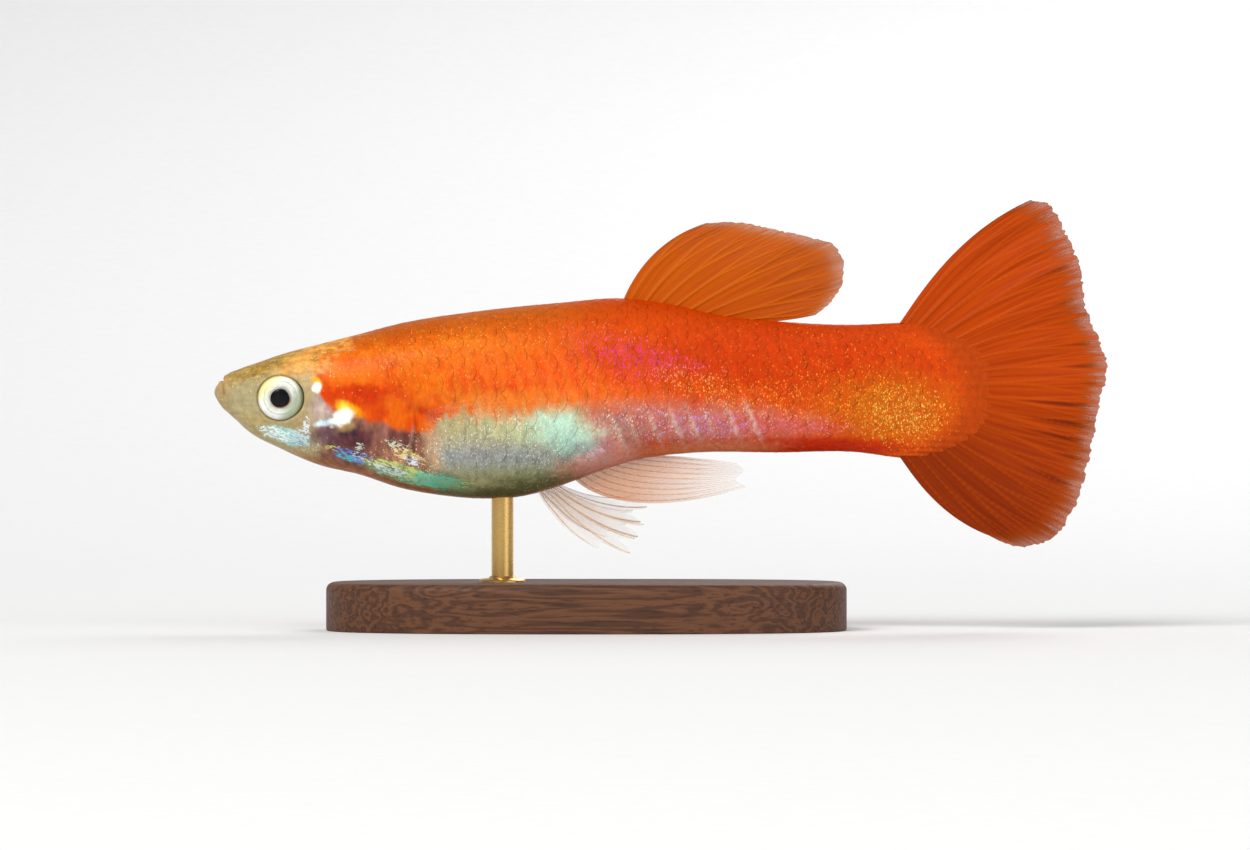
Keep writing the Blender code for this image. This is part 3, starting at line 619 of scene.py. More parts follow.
# Patches of the head, the gill region, the belly and the vent, which the orange covers where it lies
UNDER_PATCHES = [
    (3.2, 1.7, 3.8, 0.62, 24, 0.6, 0.7, 0, (170, 132, 48), 0.9),
    (4.8, 1.5, 1.5, 0.62, 26, 0.6, 0.9, 0, (232, 164, 74), 0.85),
    (5.6, 1.1, 0.7, 0.8, 0, 0.7, 0.9, 0, (240, 150, 60), 0.7),
    (6.5, 2.5, 1.8, 0.6, 22, 0.6, 0.9, 0, (222, 148, 56), 0.9),
    (4.6, 1.3, 1.3, 0.35, 20, 0.7, 1.0, 1, (222, 186, 112), 0.6),
    (0.2, -0.25, 0.6, 0.8, 0, 0.5, 0.4, 0, (178, 150, 104), 0.7),
    (1.6, -0.5, 0.8, 1.0, 10, 0.7, 0.6, 0, (172, 162, 124), 0.75),
    (2.6, -1.9, 1.5, 0.4, -27, 0.6, 0.6, 0, (186, 164, 104), 0.7),
    (5.3, -0.95, 0.55, 0.8, 0, 0.5, 0.7, 0, (188, 166, 158), 0.85),
    (5.9, -2.35, 1.1, 0.55, -10, 0.5, 0.9, 0, (112, 80, 88), 0.9),
    (7.1, -2.45, 0.95, 0.62, 0, 0.5, 0.9, 0, (98, 54, 58), 0.95),
    (6.7, -2.1, 0.5, 0.2, -5, 0.5, 1.0, 0, (66, 42, 58), 0.8),
    (9.25, -2.55, 0.85, 0.72, -5, 0.5, 0.8, 0, (112, 68, 62), 0.92),
    (9.3, -3.45, 1.1, 0.5, -15, 0.5, 0.8, 0, (180, 118, 90), 0.85),
    (8.3, -2.5, 1.2, 0.34, 76, 0.5, 0.5, 0, (152, 98, 84), 0.9),
    (10.95, -2.9, 1.6, 0.42, 98, 0.6, 0.5, 0, (200, 168, 132), 0.85),
    (11.3, -4.5, 0.9, 0.4, -10, 0.5, 0.9, 0, (84, 140, 128), 0.8),
    (3.5, -2.27, 1.2, 0.38, -20, 0.6, 0.9, 1, (164, 236, 238), 1.5),
    (3.6, -2.3, 1.0, 0.26, -20, 0.8, 0.9, 0, (168, 214, 210), 0.85),
    (3.1, -2.18, 0.85, 0.24, -18, 0.4, 0.8, 1, (240, 255, 255), 1.5),
    (4.62, -2.3, 0.16, 0.62, 4, 0.4, 1.0, 1, (236, 250, 255), 1.0),
    (4.35, -2.4, 0.5, 0.42, -50, 0.4, 1.0, 1, (196, 226, 238), 1.0),
    (4.6, -1.7, 0.5, 0.2, 74, 0.5, 1.0, 1, (222, 226, 232), 0.9),
    (4.3, -2.62, 0.2, 0.2, 0, 0.4, 0.4, 0, (124, 146, 146), 0.7),
    (5.65, -1.62, 0.7, 0.16, 9, 0.4, 0.8, 0, (208, 232, 236), 0.95),
    (6.6, -1.85, 0.5, 0.22, 10, 0.5, 1.0, 0, (172, 142, 84), 0.7),
    (6.4, -3.03, 0.9, 0.16, -14, 0.4, 1.2, 1, (212, 222, 110), 1.4),
    (7.0, -3.35, 0.95, 0.28, -12, 0.6, 0.9, 0, (84, 92, 138), 0.8),
    (7.0, -3.35, 1.0, 0.32, -12, 0.5, 0.9, 1, (112, 142, 236), 1.0),
    (6.4, -3.3, 0.55, 0.16, -16, 0.4, 0.9, 1, (96, 196, 212), 0.9),
    (7.45, -3.25, 0.5, 0.24, -5, 0.5, 1.1, 1, (200, 210, 250), 0.7),
    (7.25, -2.85, 0.3, 0.22, 55, 0.6, 1.2, 1, (206, 212, 200), 0.9),
    (9.2, -2.85, 0.8, 0.34, -32, 0.6, 1.2, 1, (214, 216, 190), 0.9),
    (9.9, -3.4, 0.8, 0.34, -14, 0.6, 1.2, 1, (236, 222, 150), 0.9),
    (10.0, -4.3, 2.2, 0.34, -15, 0.7, 0.9, 0, (160, 206, 150), 0.9),
    (9.9, -4.32, 2.2, 0.36, -15, 0.5, 0.9, 1, (140, 232, 196), 1.3),
    (9.3, -4.0, 1.7, 0.3, -17, 0.4, 1.0, 1, (218, 232, 130), 1.3),
    (8.8, -4.0, 0.9, 0.17, -16, 0.4, 1.0, 1, (240, 255, 250), 1.4),
    (9.9, -3.55, 0.4, 0.2, -8, 0.4, 1.0, 1, (236, 244, 255), 1.2),
    (10.9, -4.5, 0.9, 0.3, -12, 0.4, 1.2, 1, (120, 232, 214), 1.3),
    (12.0, -4.62, 0.9, 0.34, -8, 0.6, 1.2, 1, (112, 206, 172), 0.9),
    (13.6, -4.75, 1.0, 0.2, 0, 0.7, 1.4, 1, (196, 214, 140), 0.6),
    (19.2, -3.55, 1.6, 0.62, 16, 0.7, 1.2, 0, (240, 158, 142), 0.9),
    (18.9, -3.25, 1.1, 0.35, 20, 0.6, 1.2, 1, (246, 190, 200), 0.8),
    (18.6, -2.6, 1.0, 0.4, -10, 0.8, 1.4, 0, (176, 112, 150), 0.5),
]

# Spots that lie over the orange and its border too
SPOTS_OVER_ALL = [
    (6.72, -0.98, 0.6, 0.26, -22, 0.7, 1.0, 0, (255, 176, 10), 0.95),
    (6.45, -0.95, 0.26, 0.34, 0, 0.6, 0.7, 0, (255, 226, 70), 0.95),
    (6.38, -1.38, 0.58, 0.34, 26, 0.3, 0.9, 0, (255, 253, 244), 1.0),
    (5.12, 0.42, 0.3, 0.17, -40, 0.4, 0.5, 0, (255, 186, 40), 0.95),
    (5.1, 0.12, 0.25, 0.27, -35, 0.25, 0.8, 0, (255, 250, 238), 1.0),
    (17.5, -2.05, 1.5, 0.72, -14, 0.8, 1.7, 0, (208, 246, 216), 0.9),
    (17.8, -2.65, 1.4, 0.5, -24, 1.0, 1.7, 0, (146, 184, 172), 0.5),
    (15.4, -2.0, 1.6, 0.5, -6, 0.8, 1.7, 0, (204, 216, 164), 0.4),
    (24.2, -3.0, 3.6, 0.3, 3, 0.6, 0.7, 0, (228, 134, 92), 0.75),
]

# Glitter: x, z, half length, half height, turn, softness, share of cells lit, colour
GLITTERS = [
    (2.0, -0.5, 4.5, 4.0, 0, 0.3, 0.03, (236, 222, 170)),
    (12.0, 1.6, 6.0, 1.6, 4, 0.6, 0.35, (255, 160, 60)),
    (20.0, 0.2, 6.5, 1.8, -4, 0.6, 0.5, (255, 126, 84)),
    (30.0, 1.0, 9.0, 2.2, -2, 0.6, 0.2, (240, 104, 30)),
    (14.2, -3.0, 4.0, 1.8, 2, 0.35, 0.98, (232, 238, 200)),
    (13.4, -3.5, 2.6, 0.9, 0, 0.6, 0.9, (196, 204, 214)),
    (14.0, -4.5, 3.4, 0.6, 4, 0.6, 0.6, (170, 190, 120)),
    (17.3, -2.0, 1.9, 1.0, -16, 0.6, 0.97, (204, 255, 234)),
    (19.0, -1.7, 0.9, 0.7, -20, 0.6, 0.7, (244, 240, 170)),
    (21.6, 1.4, 3.7, 1.0, -16, 0.7, 0.8, (236, 52, 160)),
    (22.4, -1.7, 3.2, 0.9, -6, 0.6, 0.85, (236, 186, 216)),
    (25.4, -1.6, 3.0, 0.7, 0, 0.5, 0.95, (212, 160, 246)),
    (29.4, -1.55, 3.2, 0.6, -2, 0.6, 0.8, (236, 126, 184)),
    (25.0, 0.0, 2.8, 0.8, -14, 0.6, 0.75, (250, 184, 110)),
    (28.6, -0.5, 4.6, 0.9, -6, 0.7, 0.6, (255, 168, 66)),
    (31.5, 0.2, 3.6, 1.6, -6, 0.7, 0.4, (255, 150, 50)),
    (34.2, -1.1, 2.6, 1.5, -8, 0.7, 0.85, (250, 184, 40)),
    (34.6, -1.15, 1.7, 1.2, 0, 0.8, 0.75, (255, 214, 96)),
    (3.6, 1.5, 3.6, 0.7, 24, 0.6, 0.25, (226, 200, 140)),
    (9.6, -3.5, 1.8, 0.8, -16, 0.5, 0.45, (250, 246, 200)),
    (4.0, -2.4, 1.4, 0.5, -24, 0.5, 0.4, (226, 255, 255)),
]

# For each mm off the middle plane, the markings are read further out from this x by this share
MARK_MIDDLE = 20.5
MARK_SPREAD = 0.0029

# Light slanting lines on the rear flank: x of the first, and their distance
LINE_START = 20.0
LINE_STEP = 0.95


def lattice_noise(points, seed):
    """Smooth random value from 0 to 1: hashed values at whole-number corners, blended between them."""
    cell = np.floor(points).astype(np.int64)
    part = smooth(points - cell)
    total = np.zeros(len(points))
    for corner in np.ndindex(2, 2, 2):
        at = cell + corner
        mixed = (at[:, 0] * 73856093) ^ (at[:, 1] * 19349663) ^ (at[:, 2] * 83492791) ^ (seed * 2654435)
        mixed = (mixed ^ (mixed >> 13)) * 1274126177
        value = ((mixed ^ (mixed >> 16)) & 0xFFFF) / 65535
        total += np.prod(np.where(corner, part, 1 - part), axis=1) * value
    return total


def cloud(points, size, seed):
    """Noise of three octaves, the largest of the given size in mm; size may differ by axis."""
    points = points / np.asarray(size, float)
    layers = [lattice_noise(points * 2**k, seed + k) * 0.55**k for k in range(3)]
    return sum(layers) / sum(0.55**k for k in range(3))


def patch(points, seed, x, z, length, height, turn, soft, ragged):
    """Share from 0 to 1 of an oval patch with a ragged soft edge.

    The distance from its middle, in half axes, is moved by noise and eased from 1 to 0 around 1.
    """
    dx, dz = points[:, 0] - x, points[:, 2] - z
    c, s = math.cos(math.radians(turn)), math.sin(math.radians(turn))
    along, across = dx * c + dz * s, dz * c - dx * s
    r = np.hypot(along / length, across / height)
    share = np.zeros(len(points))
    near = r < 1 + soft + 0.5 * ragged
    if not near.any():
        return share
    size = max(0.12, min(0.5, 0.45 * min(length, height) + 0.08))
    moved = r[near] + ragged * (cloud(points[near], size, seed) - 0.5)
    share[near] = 1 - smooth((moved - 1 + soft) / (2 * soft))
    return share


def paint(colour, mirror, points, table, first_seed):
    """Lays a table's patches in order: plain ones over the colours, those of flakes in the mirror layer.

    The mirror layer holds, for each point, the flakes' colour and how densely they lie.
    """
    for k, row in enumerate(table):
        share = patch(points, first_seed + 7 * k, *row[:7])
        if row[7]:
            mirror[:, :3] = blend(mirror[:, :3], tone(*row[8]), smooth(share * 2.5))
            mirror[:, 3] = np.maximum(mirror[:, 3], share * row[9])
        else:
            colour = blend(colour, tone(*row[8]), share * row[9])
    return colour


def blend(first, second, share):
    """Colours from the first to the second by each point's share."""
    return first + np.asarray(share)[:, None] * (second - first)


def tone(red, green, blue):
    """Linear colour from 0 to 255 as seen on screen, as an array."""
    return np.array(rgb(red, green, blue)[:3])


def orange_part(points, mirror, high, wander):
    """Orange of the back and flank: patches, blotches, a darker ridge of the back, and paler bands."""
    x, z = points[:, 0], points[:, 2]
    orange = np.tile(tone(232, 82, 3), (len(points), 1))
    orange = paint(orange, mirror, points, FLANK_PATCHES, 100)
    blotches = cloud(points, (0.75, 0.75, 0.6), 21) - 0.5
    orange = blend(orange, tone(206, 44, 0), 0.32 * smooth(blotches * 4))
    orange = blend(orange, tone(255, 140, 20), 0.3 * smooth(-blotches * 5) * smooth((16 - x) / 4))
    ridge = smooth((high - 0.62) / 0.36)
    front_back, rear_back = tone(190, 96, 4), tone(196, 58, 0)
    orange = blend(orange, blend(front_back[None], rear_back, smooth((x - 15) / 7)), 0.75 * ridge)
    bands = 0.5 + 0.5 * np.sin(2 * math.pi * (x + 0.3 * z + 0.6 * wander) / 0.8)
    lit = bands * smooth((x - 10) / 2) * smooth((21 - x) / 3) * bump(z - 0.2, 1.5)
    orange = blend(orange, tone(255, 150, 50), 0.28 * lit)
    return orange * (0.86, 0.86, 0.6)


def pale_part(points, mirror, high, low, wander):
    """Pale head, half clear gill region, silver belly with upright streaks, and pink vent.

    Each follows on the one before along x, darkens towards the keel, and carries its patches. Veins
    of noise lie over the gill region, and fine level grain over the crown.
    """
    x, z = points[:, 0], points[:, 2]
    flesh = np.tile(tone(182, 162, 116), (len(points), 1))
    flesh = blend(flesh, tone(140, 92, 74), smooth((x - 4.9 + wander) / 0.8) * smooth((0.4 - z) / 0.8))
    flesh = blend(flesh, tone(164, 98, 46), smooth((low - 0.83) / 0.14) * smooth((x - 3.2) / 2.5))
    silver = blend(np.tile(tone(176, 174, 126), (len(points), 1)), tone(148, 154, 146), bump(z + 3.3, 0.8))
    upright = cloud(points, (0.13, 0.3, 0.7), 17) - 0.5
    silver = silver * (1 + 1.1 * upright)[:, None]
    silver = blend(silver, tone(100, 106, 70), smooth((low - 0.72 + 0.3 * wander) / 0.22))
    silver = blend(silver, tone(176, 118, 84), smooth((low - 0.965) / 0.03))
    under = blend(flesh, silver, smooth((x - 10.9 + 0.6 * wander) / 0.5))
    pink = smooth((x + 0.4 * (z + 2.5) - 18.2 + wander) / 1.6)
    under = blend(under, tone(214, 138, 124), pink)
    under = paint(under, mirror, points, UNDER_PATCHES, 400)
    veins = cloud(points, (0.2, 0.3, 0.45), 47) - 0.5
    veins = 1.3 * veins * smooth((x - 4.6) / 0.8) * smooth((11.4 - x) / 0.8)
    grain = cloud(points, (0.42, 0.3, 0.13), 53) - 0.5
    grain = grain * (0.45 + 0.75 * smooth((high - 0.35) / 0.4)) * smooth((8.0 - x) / 2)
    return under * (1 + veins + grain)[:, None]


def orange_share(points, wander, streak):
    """How far orange covers a point: 1 behind its front border and above its lower one, both wavering."""
    x, z = points[:, 0], points[:, 2]
    front = np.interp(z, *zip(*ORANGE_FRONT))
    border = np.interp(x, *zip(*ORANGE_LOW))
    speckle = cloud(points, 0.22, 31) - 0.5
    soft = 0.3 + 0.9 * smooth((z - 0.4) / 0.8)
    over = smooth((x - front + 0.7 * wander + 1.6 * soft * speckle + 0.15) / soft)
    fade = 0.4 + 0.75 * smooth((x - 11.5) / 2)
    rise = z - border + 0.6 * wander + 1.3 * streak * smooth((x - 10) / 2)
    return over * smooth((rise + 0.5 * fade) / fade)


def lay_glitter(points):
    """Glitter's colour and share of lit cells: the table's ovals, then light lines that slant."""
    fleck = np.tile(tone(255, 150, 60), (len(points), 1))
    share = np.zeros(len(points))
    for k, row in enumerate(GLITTERS):
        mask = patch(points, 1000 + 5 * k, *row[:6], 0.7)
        fleck = blend(fleck, tone(*row[7]), mask)
        share = np.maximum(share, mask * row[6])
    for k in range(9):
        line = patch(points, 940 + k, LINE_START + LINE_STEP * k, -1.9 + 0.07 * k, 1.0, 0.16, -66, 0.7, 0.9)
        fleck = blend(fleck, tone(246, 234, 206), line * (0.9 - 0.06 * k))
        share = np.maximum(share, 0.98 * line)
    return fleck, share


def markings(points):
    """Skin colour at each point, its glitter's colour and share of lit cells, and its mirror layer.

    Orange lies over the pale parts by its share, with a paler line between them on the belly. The
    gill cover's rim, the light lines and the darker root of the tail fin lie over both.
    """
    points = points + MARK_SPREAD * np.abs(points[:, 1:2]) * (points[:, :1] - MARK_MIDDLE) * (1, 0, 0)
    x, z = points[:, 0], points[:, 2]
    high = np.clip((z - widest_height(x)) / (back(x) - widest_height(x)), 0, 1)
    low = np.clip((widest_height(x) - z) / (widest_height(x) - belly(x)), 0, 1)
    wander = cloud(points, (0.7, 0.7, 0.9), 3) - 0.5
    streak = cloud(points, (0.16, 0.3, 0.9), 9) - 0.5
    mirror = np.hstack([np.tile(tone(240, 236, 214), (len(points), 1)), np.zeros((len(points), 1))])
    orange = orange_part(points, mirror, high, wander)
    under = pale_part(points, mirror, high, low, wander)
    over = orange_share(points, wander, streak)
    between = bump(over - 0.5, 0.3) * smooth((x - 11.0) / 1.5) * smooth((19.5 - x) / 2)
    colour = blend(blend(under, orange, over), tone(238, 160, 84), 0.45 * between)
    mirror[:, 3] *= 1 - over
    colour = paint(colour, mirror, points, SPOTS_OVER_ALL, 800)
    for k in range(8):
        uneven = abs(math.sin(2.3 * k + 1))
        start = LINE_START + LINE_STEP * k + 0.3 * uneven
        line = patch(points, 900 + k, start, -2.2 + 0.09 * k, 0.5 + 0.3 * uneven, 0.08, -68, 1.0, 1.5)
        colour = blend(colour, tone(240, 214, 196), line * (0.15 + 0.5 * uneven))
    rim = bump(points[:, 0] - GILL_REAR + 0.12 + GILL_BEND * (z - GILL_HEIGHT) ** 2, 0.09)
    rim = rim * smooth((z + 3.6) / 0.4) * smooth((-1.6 - z) / 0.4)
    colour = blend(colour, tone(188, 150, 138), 0.45 * rim)
    mirror[:, 3] = np.maximum(mirror[:, 3], 0.4 * rim)
    root = smooth((x - tail_root(z) + 1.2) / 1.8)
    colour = blend(colour, tone(178, 63, 0), root)
    fleck, share = lay_glitter(points)
    share = share * (0.85 + 0.9 * streak) * (1 - 0.7 * root)
    return colour, fleck, np.clip(share, 0, 0.98), mirror


def paint_mesh(piece, points):
    """Stores the markings on the piece's points for its material."""
    colour, fleck, share, mirror = markings(points)
    opaque = np.ones((len(points), 1))
    for name, values in (("ground", colour), ("fleck", fleck), ("mirror", mirror[:, :3])):
        layer = piece.data.attributes.new(name, "FLOAT_COLOR", "POINT")
        layer.data.foreach_set("color", np.hstack([values, opaque]).astype(np.float32).ravel())
    set_point_values(piece, "share", share)
    set_point_values(piece, "mirror_share", mirror[:, 3])


def new_material(name):
    """Material with a Principled shader: (material, graph, shader)."""
    made = bpy.data.materials.new(name)
    made.use_nodes = True
    return made, Graph(made.node_tree), made.node_tree.nodes["Principled BSDF"]


def set_inputs(shader, values):
    """Sets the same number or colour all over on the shader's own sockets."""
    for key, value in values.items():
        shader.inputs[key].default_value = value


def flakes_group():
    """Mirror-like flakes: slanting streaks of noise, more of them over a threshold as the share grows."""
    inputs = [("Place", "Vector", None), ("Share", "Float", 0.5)]
    graph, given, out = new_group("flakes", inputs, [("Mask", "Float")])
    slant = {"Vector": given["Place"], "Angle": math.radians(-18)}
    turned_place = graph.node("ShaderNodeVectorRotate", slant, rotation_type="Y_AXIS").outputs[0]
    streaks = graph.noise(graph.scaled(turned_place, (1.5, 1.5, 5.0)), 2.4, 4.0, 0.7)
    grains = graph.node("ShaderNodeTexVoronoi", {"Vector": given["Place"], "Scale": 11.0}).outputs["Color"]
    grain = graph.node("ShaderNodeSeparateColor", {0: grains}).outputs[0]
    height = graph.plus(streaks, graph.times(grain, 0.12))
    threshold = graph.ease(given["Share"], 0.0, 1.0, 0.84, 0.52)
    soft = graph.plus(threshold, 0.06)
    mask = graph.ease(height, threshold, soft)
    graph.feed(out["Mask"], graph.times(mask, graph.ease(given["Share"], 0.02, 0.2)))
    return graph.tree


def skin_material(place_tree, glitter_tree, flakes_tree):
    """Moist skin: the stored markings, mottled finely, under lit cells of two sizes and the flakes."""
    made, graph, shader = new_material("guppy_skin")
    place = graph.group(place_tree, {})["Place"]
    ground = graph.stored("ground", "Color")
    fleck = graph.stored("fleck", "Color")
    share = graph.stored("share")
    fine = graph.noise(graph.scaled(place, (1.0, 1.0, 0.5)), 5.0, 4.0, 0.65)
    mottle = graph.ease(fine, 0.3, 0.7, 0.86, 1.1)
    colour = graph.node("ShaderNodeVectorMath", {0: ground, 3: mottle}, operation="SCALE").outputs[0]
    large = graph.group(glitter_tree, {"Place": place, "Cells per mm": 11.0, "Share": share})
    shifted = graph.node("ShaderNodeVectorMath", {0: place, 1: (31.0, 7.0, 3.0)}, operation="ADD").outputs[0]
    half_share = graph.times(share, 0.8)
    small = graph.group(glitter_tree, {"Place": shifted, "Cells per mm": 19.0, "Share": half_share})
    lit = graph.math("MAXIMUM", large["Mask"], small["Mask"])
    bright = graph.ease(small["Tint"], 0.0, 1.0, 0.7, 1.25)
    spark = graph.node("ShaderNodeVectorMath", {0: fleck, 3: bright}, operation="SCALE").outputs[0]
    colour = graph.mix(lit, colour, spark)
    mirror = graph.stored("mirror", "Color")
    mirror_share = graph.stored("mirror_share")
    flakes = graph.group(flakes_tree, {"Place": place, "Share": mirror_share})["Mask"]
    colour = graph.mix(flakes, colour, mirror)
    lit = graph.math("MAXIMUM", lit, flakes)
    graph.feed(shader.inputs["Base Color"], colour)
    graph.feed(shader.inputs["Roughness"], graph.minus(0.44, graph.times(lit, 0.16)))
    graph.feed(shader.inputs["Normal"], graph.bump(fine, 0.25, 0.02 * MM))
    set_inputs(shader, {
        "Specular IOR Level": 0.07, "Coat Weight": 0.07, "Coat Roughness": 0.14,
        "Subsurface Weight": 0.1, "Subsurface Scale": 0.5 * MM, "Subsurface Radius": (1.0, 0.35, 0.15),
    })
    return made


def make_scales(finish, name, rows):
    """Overlapping scales as one joined mesh: each a thin disc, sunk at its root and raised at its rear.

    A disc point is (r cos t, r sin t). Its station and angle on the body come from the disc's centre
    plus that point times the scale's half length and half angle, and it stands off the skin by
    rise (1 + r cos t) / 2 less its sink. Scales grow up over their first columns and shrink again
    before the tail fin. The last point of each is the middle of its underside.
    """
    half_angle = SCALE_OVERLAP * math.pi / SCALE_ROWS
    turn = np.linspace(0, 2 * math.pi, SCALE_SIDES, endpoint=False)
    radius = np.array([0.45, 0.8, 0.94, 1.0])
    r = np.concatenate([[0.0], np.repeat(radius, SCALE_SIDES), [0.0]])
    t = np.concatenate([[0.0], np.tile(turn, len(radius)), [0.0]])
    u, v = r * np.cos(t), r * np.sin(t)
    under = np.zeros(len(r))
    under[-1] = 1.0
    stations = np.arange(*SCALE_STATIONS, SCALE_STEP)
    column, row = np.meshgrid(np.arange(len(stations)), rows, indexing="ij")
    centre_angle = (row + 0.5 * (column % 2)) * 2 * math.pi / SCALE_ROWS
    centre_station = stations[column]
    keep = scale_grows(centre_station, centre_angle)
    centre_station, centre_angle = centre_station[keep], centre_angle[keep]
    station = centre_station[:, None] + u * SCALE_HALF_LENGTH
    angle = centre_angle[:, None] + v * half_angle
    point, normal = surface(np.clip(station, 1.0, TAIL_ROOT), angle)
    lift = np.where(under > 0, -2 * SCALE_SINK, -SCALE_SINK + SCALE_RISE * (1 + u) / 2 - 0.01 * (r >= 1))
    size = smooth((centre_station - scales_start(centre_angle) + 0.3) / 1.6)
    size = (size * smooth((34.3 - centre_station) / 1.8))[:, None]
    points = point + normal * (lift * size - SCALE_SINK * (1 - size))[..., None]
    ring = np.arange(SCALE_SIDES)
    after = (ring + 1) % SCALE_SIDES
    faces = [np.stack([0 * ring, 1 + ring, 1 + after], axis=-1)]
    for k in range(len(radius) - 1):
        a, b = 1 + k * SCALE_SIDES + ring, 1 + k * SCALE_SIDES + after
        faces.append(np.stack([a, a + SCALE_SIDES, b + SCALE_SIDES], axis=-1))
        faces.append(np.stack([a, b + SCALE_SIDES, b], axis=-1))
    a = 1 + (len(radius) - 1) * SCALE_SIDES
    faces.append(np.stack([0 * ring + len(r) - 1, a + after, a + ring], axis=-1))
    one = np.concatenate(faces)
    every = (one[None] + (np.arange(len(points)) * len(r))[:, None, None]).reshape(-1, 3)
    scales = add_mesh(name, points.reshape(-1, 3), every.tolist(), finish)
    paint_mesh(scales, points.reshape(-1, 3))
    # Each scale has its own small place on the map
    place = np.stack([centre_station / 40.0, (centre_angle / (2 * math.pi)) % 1.0], axis=-1)
    uv = 0.02 + 0.96 * place[:, None, :] + 0.0015 * np.stack([u, v], axis=-1)
    set_uv(scales, "OFBake", uv)
    return scales


def scales_start(angle):
    """Station of the foremost scale: behind the gill opening on the sides, at the nape on top."""
    high = np.sin(angle)
    return 10.75 + 0.3 * np.clip(-high, 0, 1) - 3.9 * smooth((high - 0.02) / 0.3)


def scale_grows(station, angle):
    """Where scales grow: everywhere behind their start but at the dorsal and anal fins' roots."""
    fin_root = (np.abs(np.sin(angle)) > 0.985) & (station > 20.0) & (station < 26.0)
    return (station > scales_start(angle)) & ~fin_root


def turned(name, centre, side, outline, finish):
    """Surface turned about an axis along y, a little flattened, from (radius, outward height) points."""
    turn = np.linspace(0, 2 * math.pi, EYE_SIDES, endpoint=False)
    radius, height = np.asarray(outline, float).T
    ring = np.stack([np.cos(turn), 0 * turn, EYE_FLATNESS * np.sin(turn)], axis=-1)
    outwards = height[:, None, None] * np.array([0, side, 0])
    points = np.asarray(centre) + radius[:, None, None] * ring + outwards
    faces = grid_faces(len(radius), EYE_SIDES, wrap=True)
    return add_mesh(name, points.reshape(-1, 3), faces.tolist(), finish, turn_out=True)


def make_eye(side, label, finishes):
    """Eye in three pieces: the silver ball with its iris, the black lens, and the clear cornea.

    The ball is half an ellipse at its back and a flat iris with a sunk pupil in front, the lens an
    ellipse in that pupil, and the cornea a thin cap of a larger ellipse.
    """
    centre = (EYE[0], side * (float(side_y(*EYE)) + EYE_PROUD - EYE_HALF_THICKNESS), EYE[1])
    deep, flat = EYE_HALF_THICKNESS, EYE_HALF_THICKNESS - IRIS_DEPTH
    ball = [(EYE_RADIUS * math.sin(a), -deep * math.cos(a)) for a in np.linspace(0, math.pi / 2, 16)]
    ball += EYE_SHOULDER + [(0.86, flat - 0.01), (0.7, flat + 0.01), (0.54, flat)]
    ball += [(PUPIL_RADIUS, flat - 0.02), (0.46, flat - 0.08), (0.4, flat - 0.14), (0.0, flat - 0.15)]
    iris = turned("eye_ball_" + label, centre, side, ball, finishes["iris"])
    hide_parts("eye_" + label)
    lens_centre = (centre[0] - 0.05, centre[1], centre[2] - 0.03)
    lens = np.linspace(0, math.pi, 20)
    lens = [(PUPIL_RADIUS * math.sin(a), flat - 0.06 - 0.12 * math.cos(a)) for a in lens]
    pupil = turned("eye_lens_" + label, lens_centre, side, lens, finishes["pupil"])
    cap = np.linspace(1.3, 0, 16)
    outer = [((EYE_RADIUS - 0.005) * math.sin(a), (deep + 0.03) * math.cos(a)) for a in cap]
    inner = [(0.972 * r, h - CORNEA_THICKNESS) for r, h in outer[::-1]]
    shell = turned("eye_cornea_" + label, centre, side, [*outer, *inner, outer[0]], finishes["cornea"])


def iris_material(place_tree):
    """Silver iris with fine spokes and rings, yellow above, shaded behind and below, brown at its rims."""
    made, graph, shader = new_material("iris_silver")
    where = graph.group(place_tree, {})
    dx = graph.minus(where["X"], EYE[0])
    dz = graph.minus(where["Z"], EYE[1])
    r = graph.math("SQRT", graph.plus(graph.times(dx, dx), graph.times(dz, dz)))
    spokes = graph.noise(graph.scaled(where["Place"], (1.0, 0.2, 1.0)), 3.0, 4.0, 0.6)
    silver = graph.mix(graph.ease(spokes, 0.35, 0.65), rgb(232, 236, 222), rgb(255, 255, 250))
    upper = graph.ease(graph.minus(dz, dx), 0.5, 1.4, 0.0, 0.75)
    silver = graph.mix(upper, silver, rgb(250, 232, 120))
    shade = graph.plus(graph.times(dx, 0.8), graph.times(dz, -0.45))
    shade = graph.plus(shade, graph.times(spokes, 0.5))
    silver = graph.mix(graph.ease(shade, 0.45, 1.0, 0.0, 0.85), silver, rgb(160, 176, 142))
    wavy = graph.plus(r, graph.times(spokes, 0.2))
    arcs = graph.math("SINE", graph.times(wavy, 22.0))
    silver = graph.mix(graph.ease(arcs, 0.2, 1.0, 0.0, 0.5), silver, rgb(150, 160, 134))
    low_ring = graph.times(graph.ease(r, 0.56, 0.49), graph.ease(dz, 0.2, -0.3, 0.25, 1.0))
    silver = graph.mix(low_ring, silver, rgb(150, 96, 40))
    silver = graph.mix(graph.ease(r, 1.1, 1.17, 0.0, 0.8), silver, rgb(112, 92, 58))
    graph.feed(shader.inputs["Base Color"], silver)
    graph.feed(shader.inputs["Normal"], graph.bump(spokes, 0.4, 0.04 * MM))
    set_inputs(shader, {"Roughness": 0.35, "Metallic": 0.1})
    return made


def plain_material(name, colour, values, spread=0.12):
    """Material of one colour that varies softly."""
    made, graph, shader = new_material(name)
    place = graph.millimetres()
    mottle = graph.noise(place, 2.0, 4.0)
    dark = tuple(c * (1 - spread) for c in colour[:3]) + (1.0,)
    light = tuple(min(c * (1 + spread), 1.0) for c in colour[:3]) + (1.0,)
    graph.feed(shader.inputs["Base Color"], graph.mix(mottle, dark, light))
    set_inputs(shader, values)
    return made


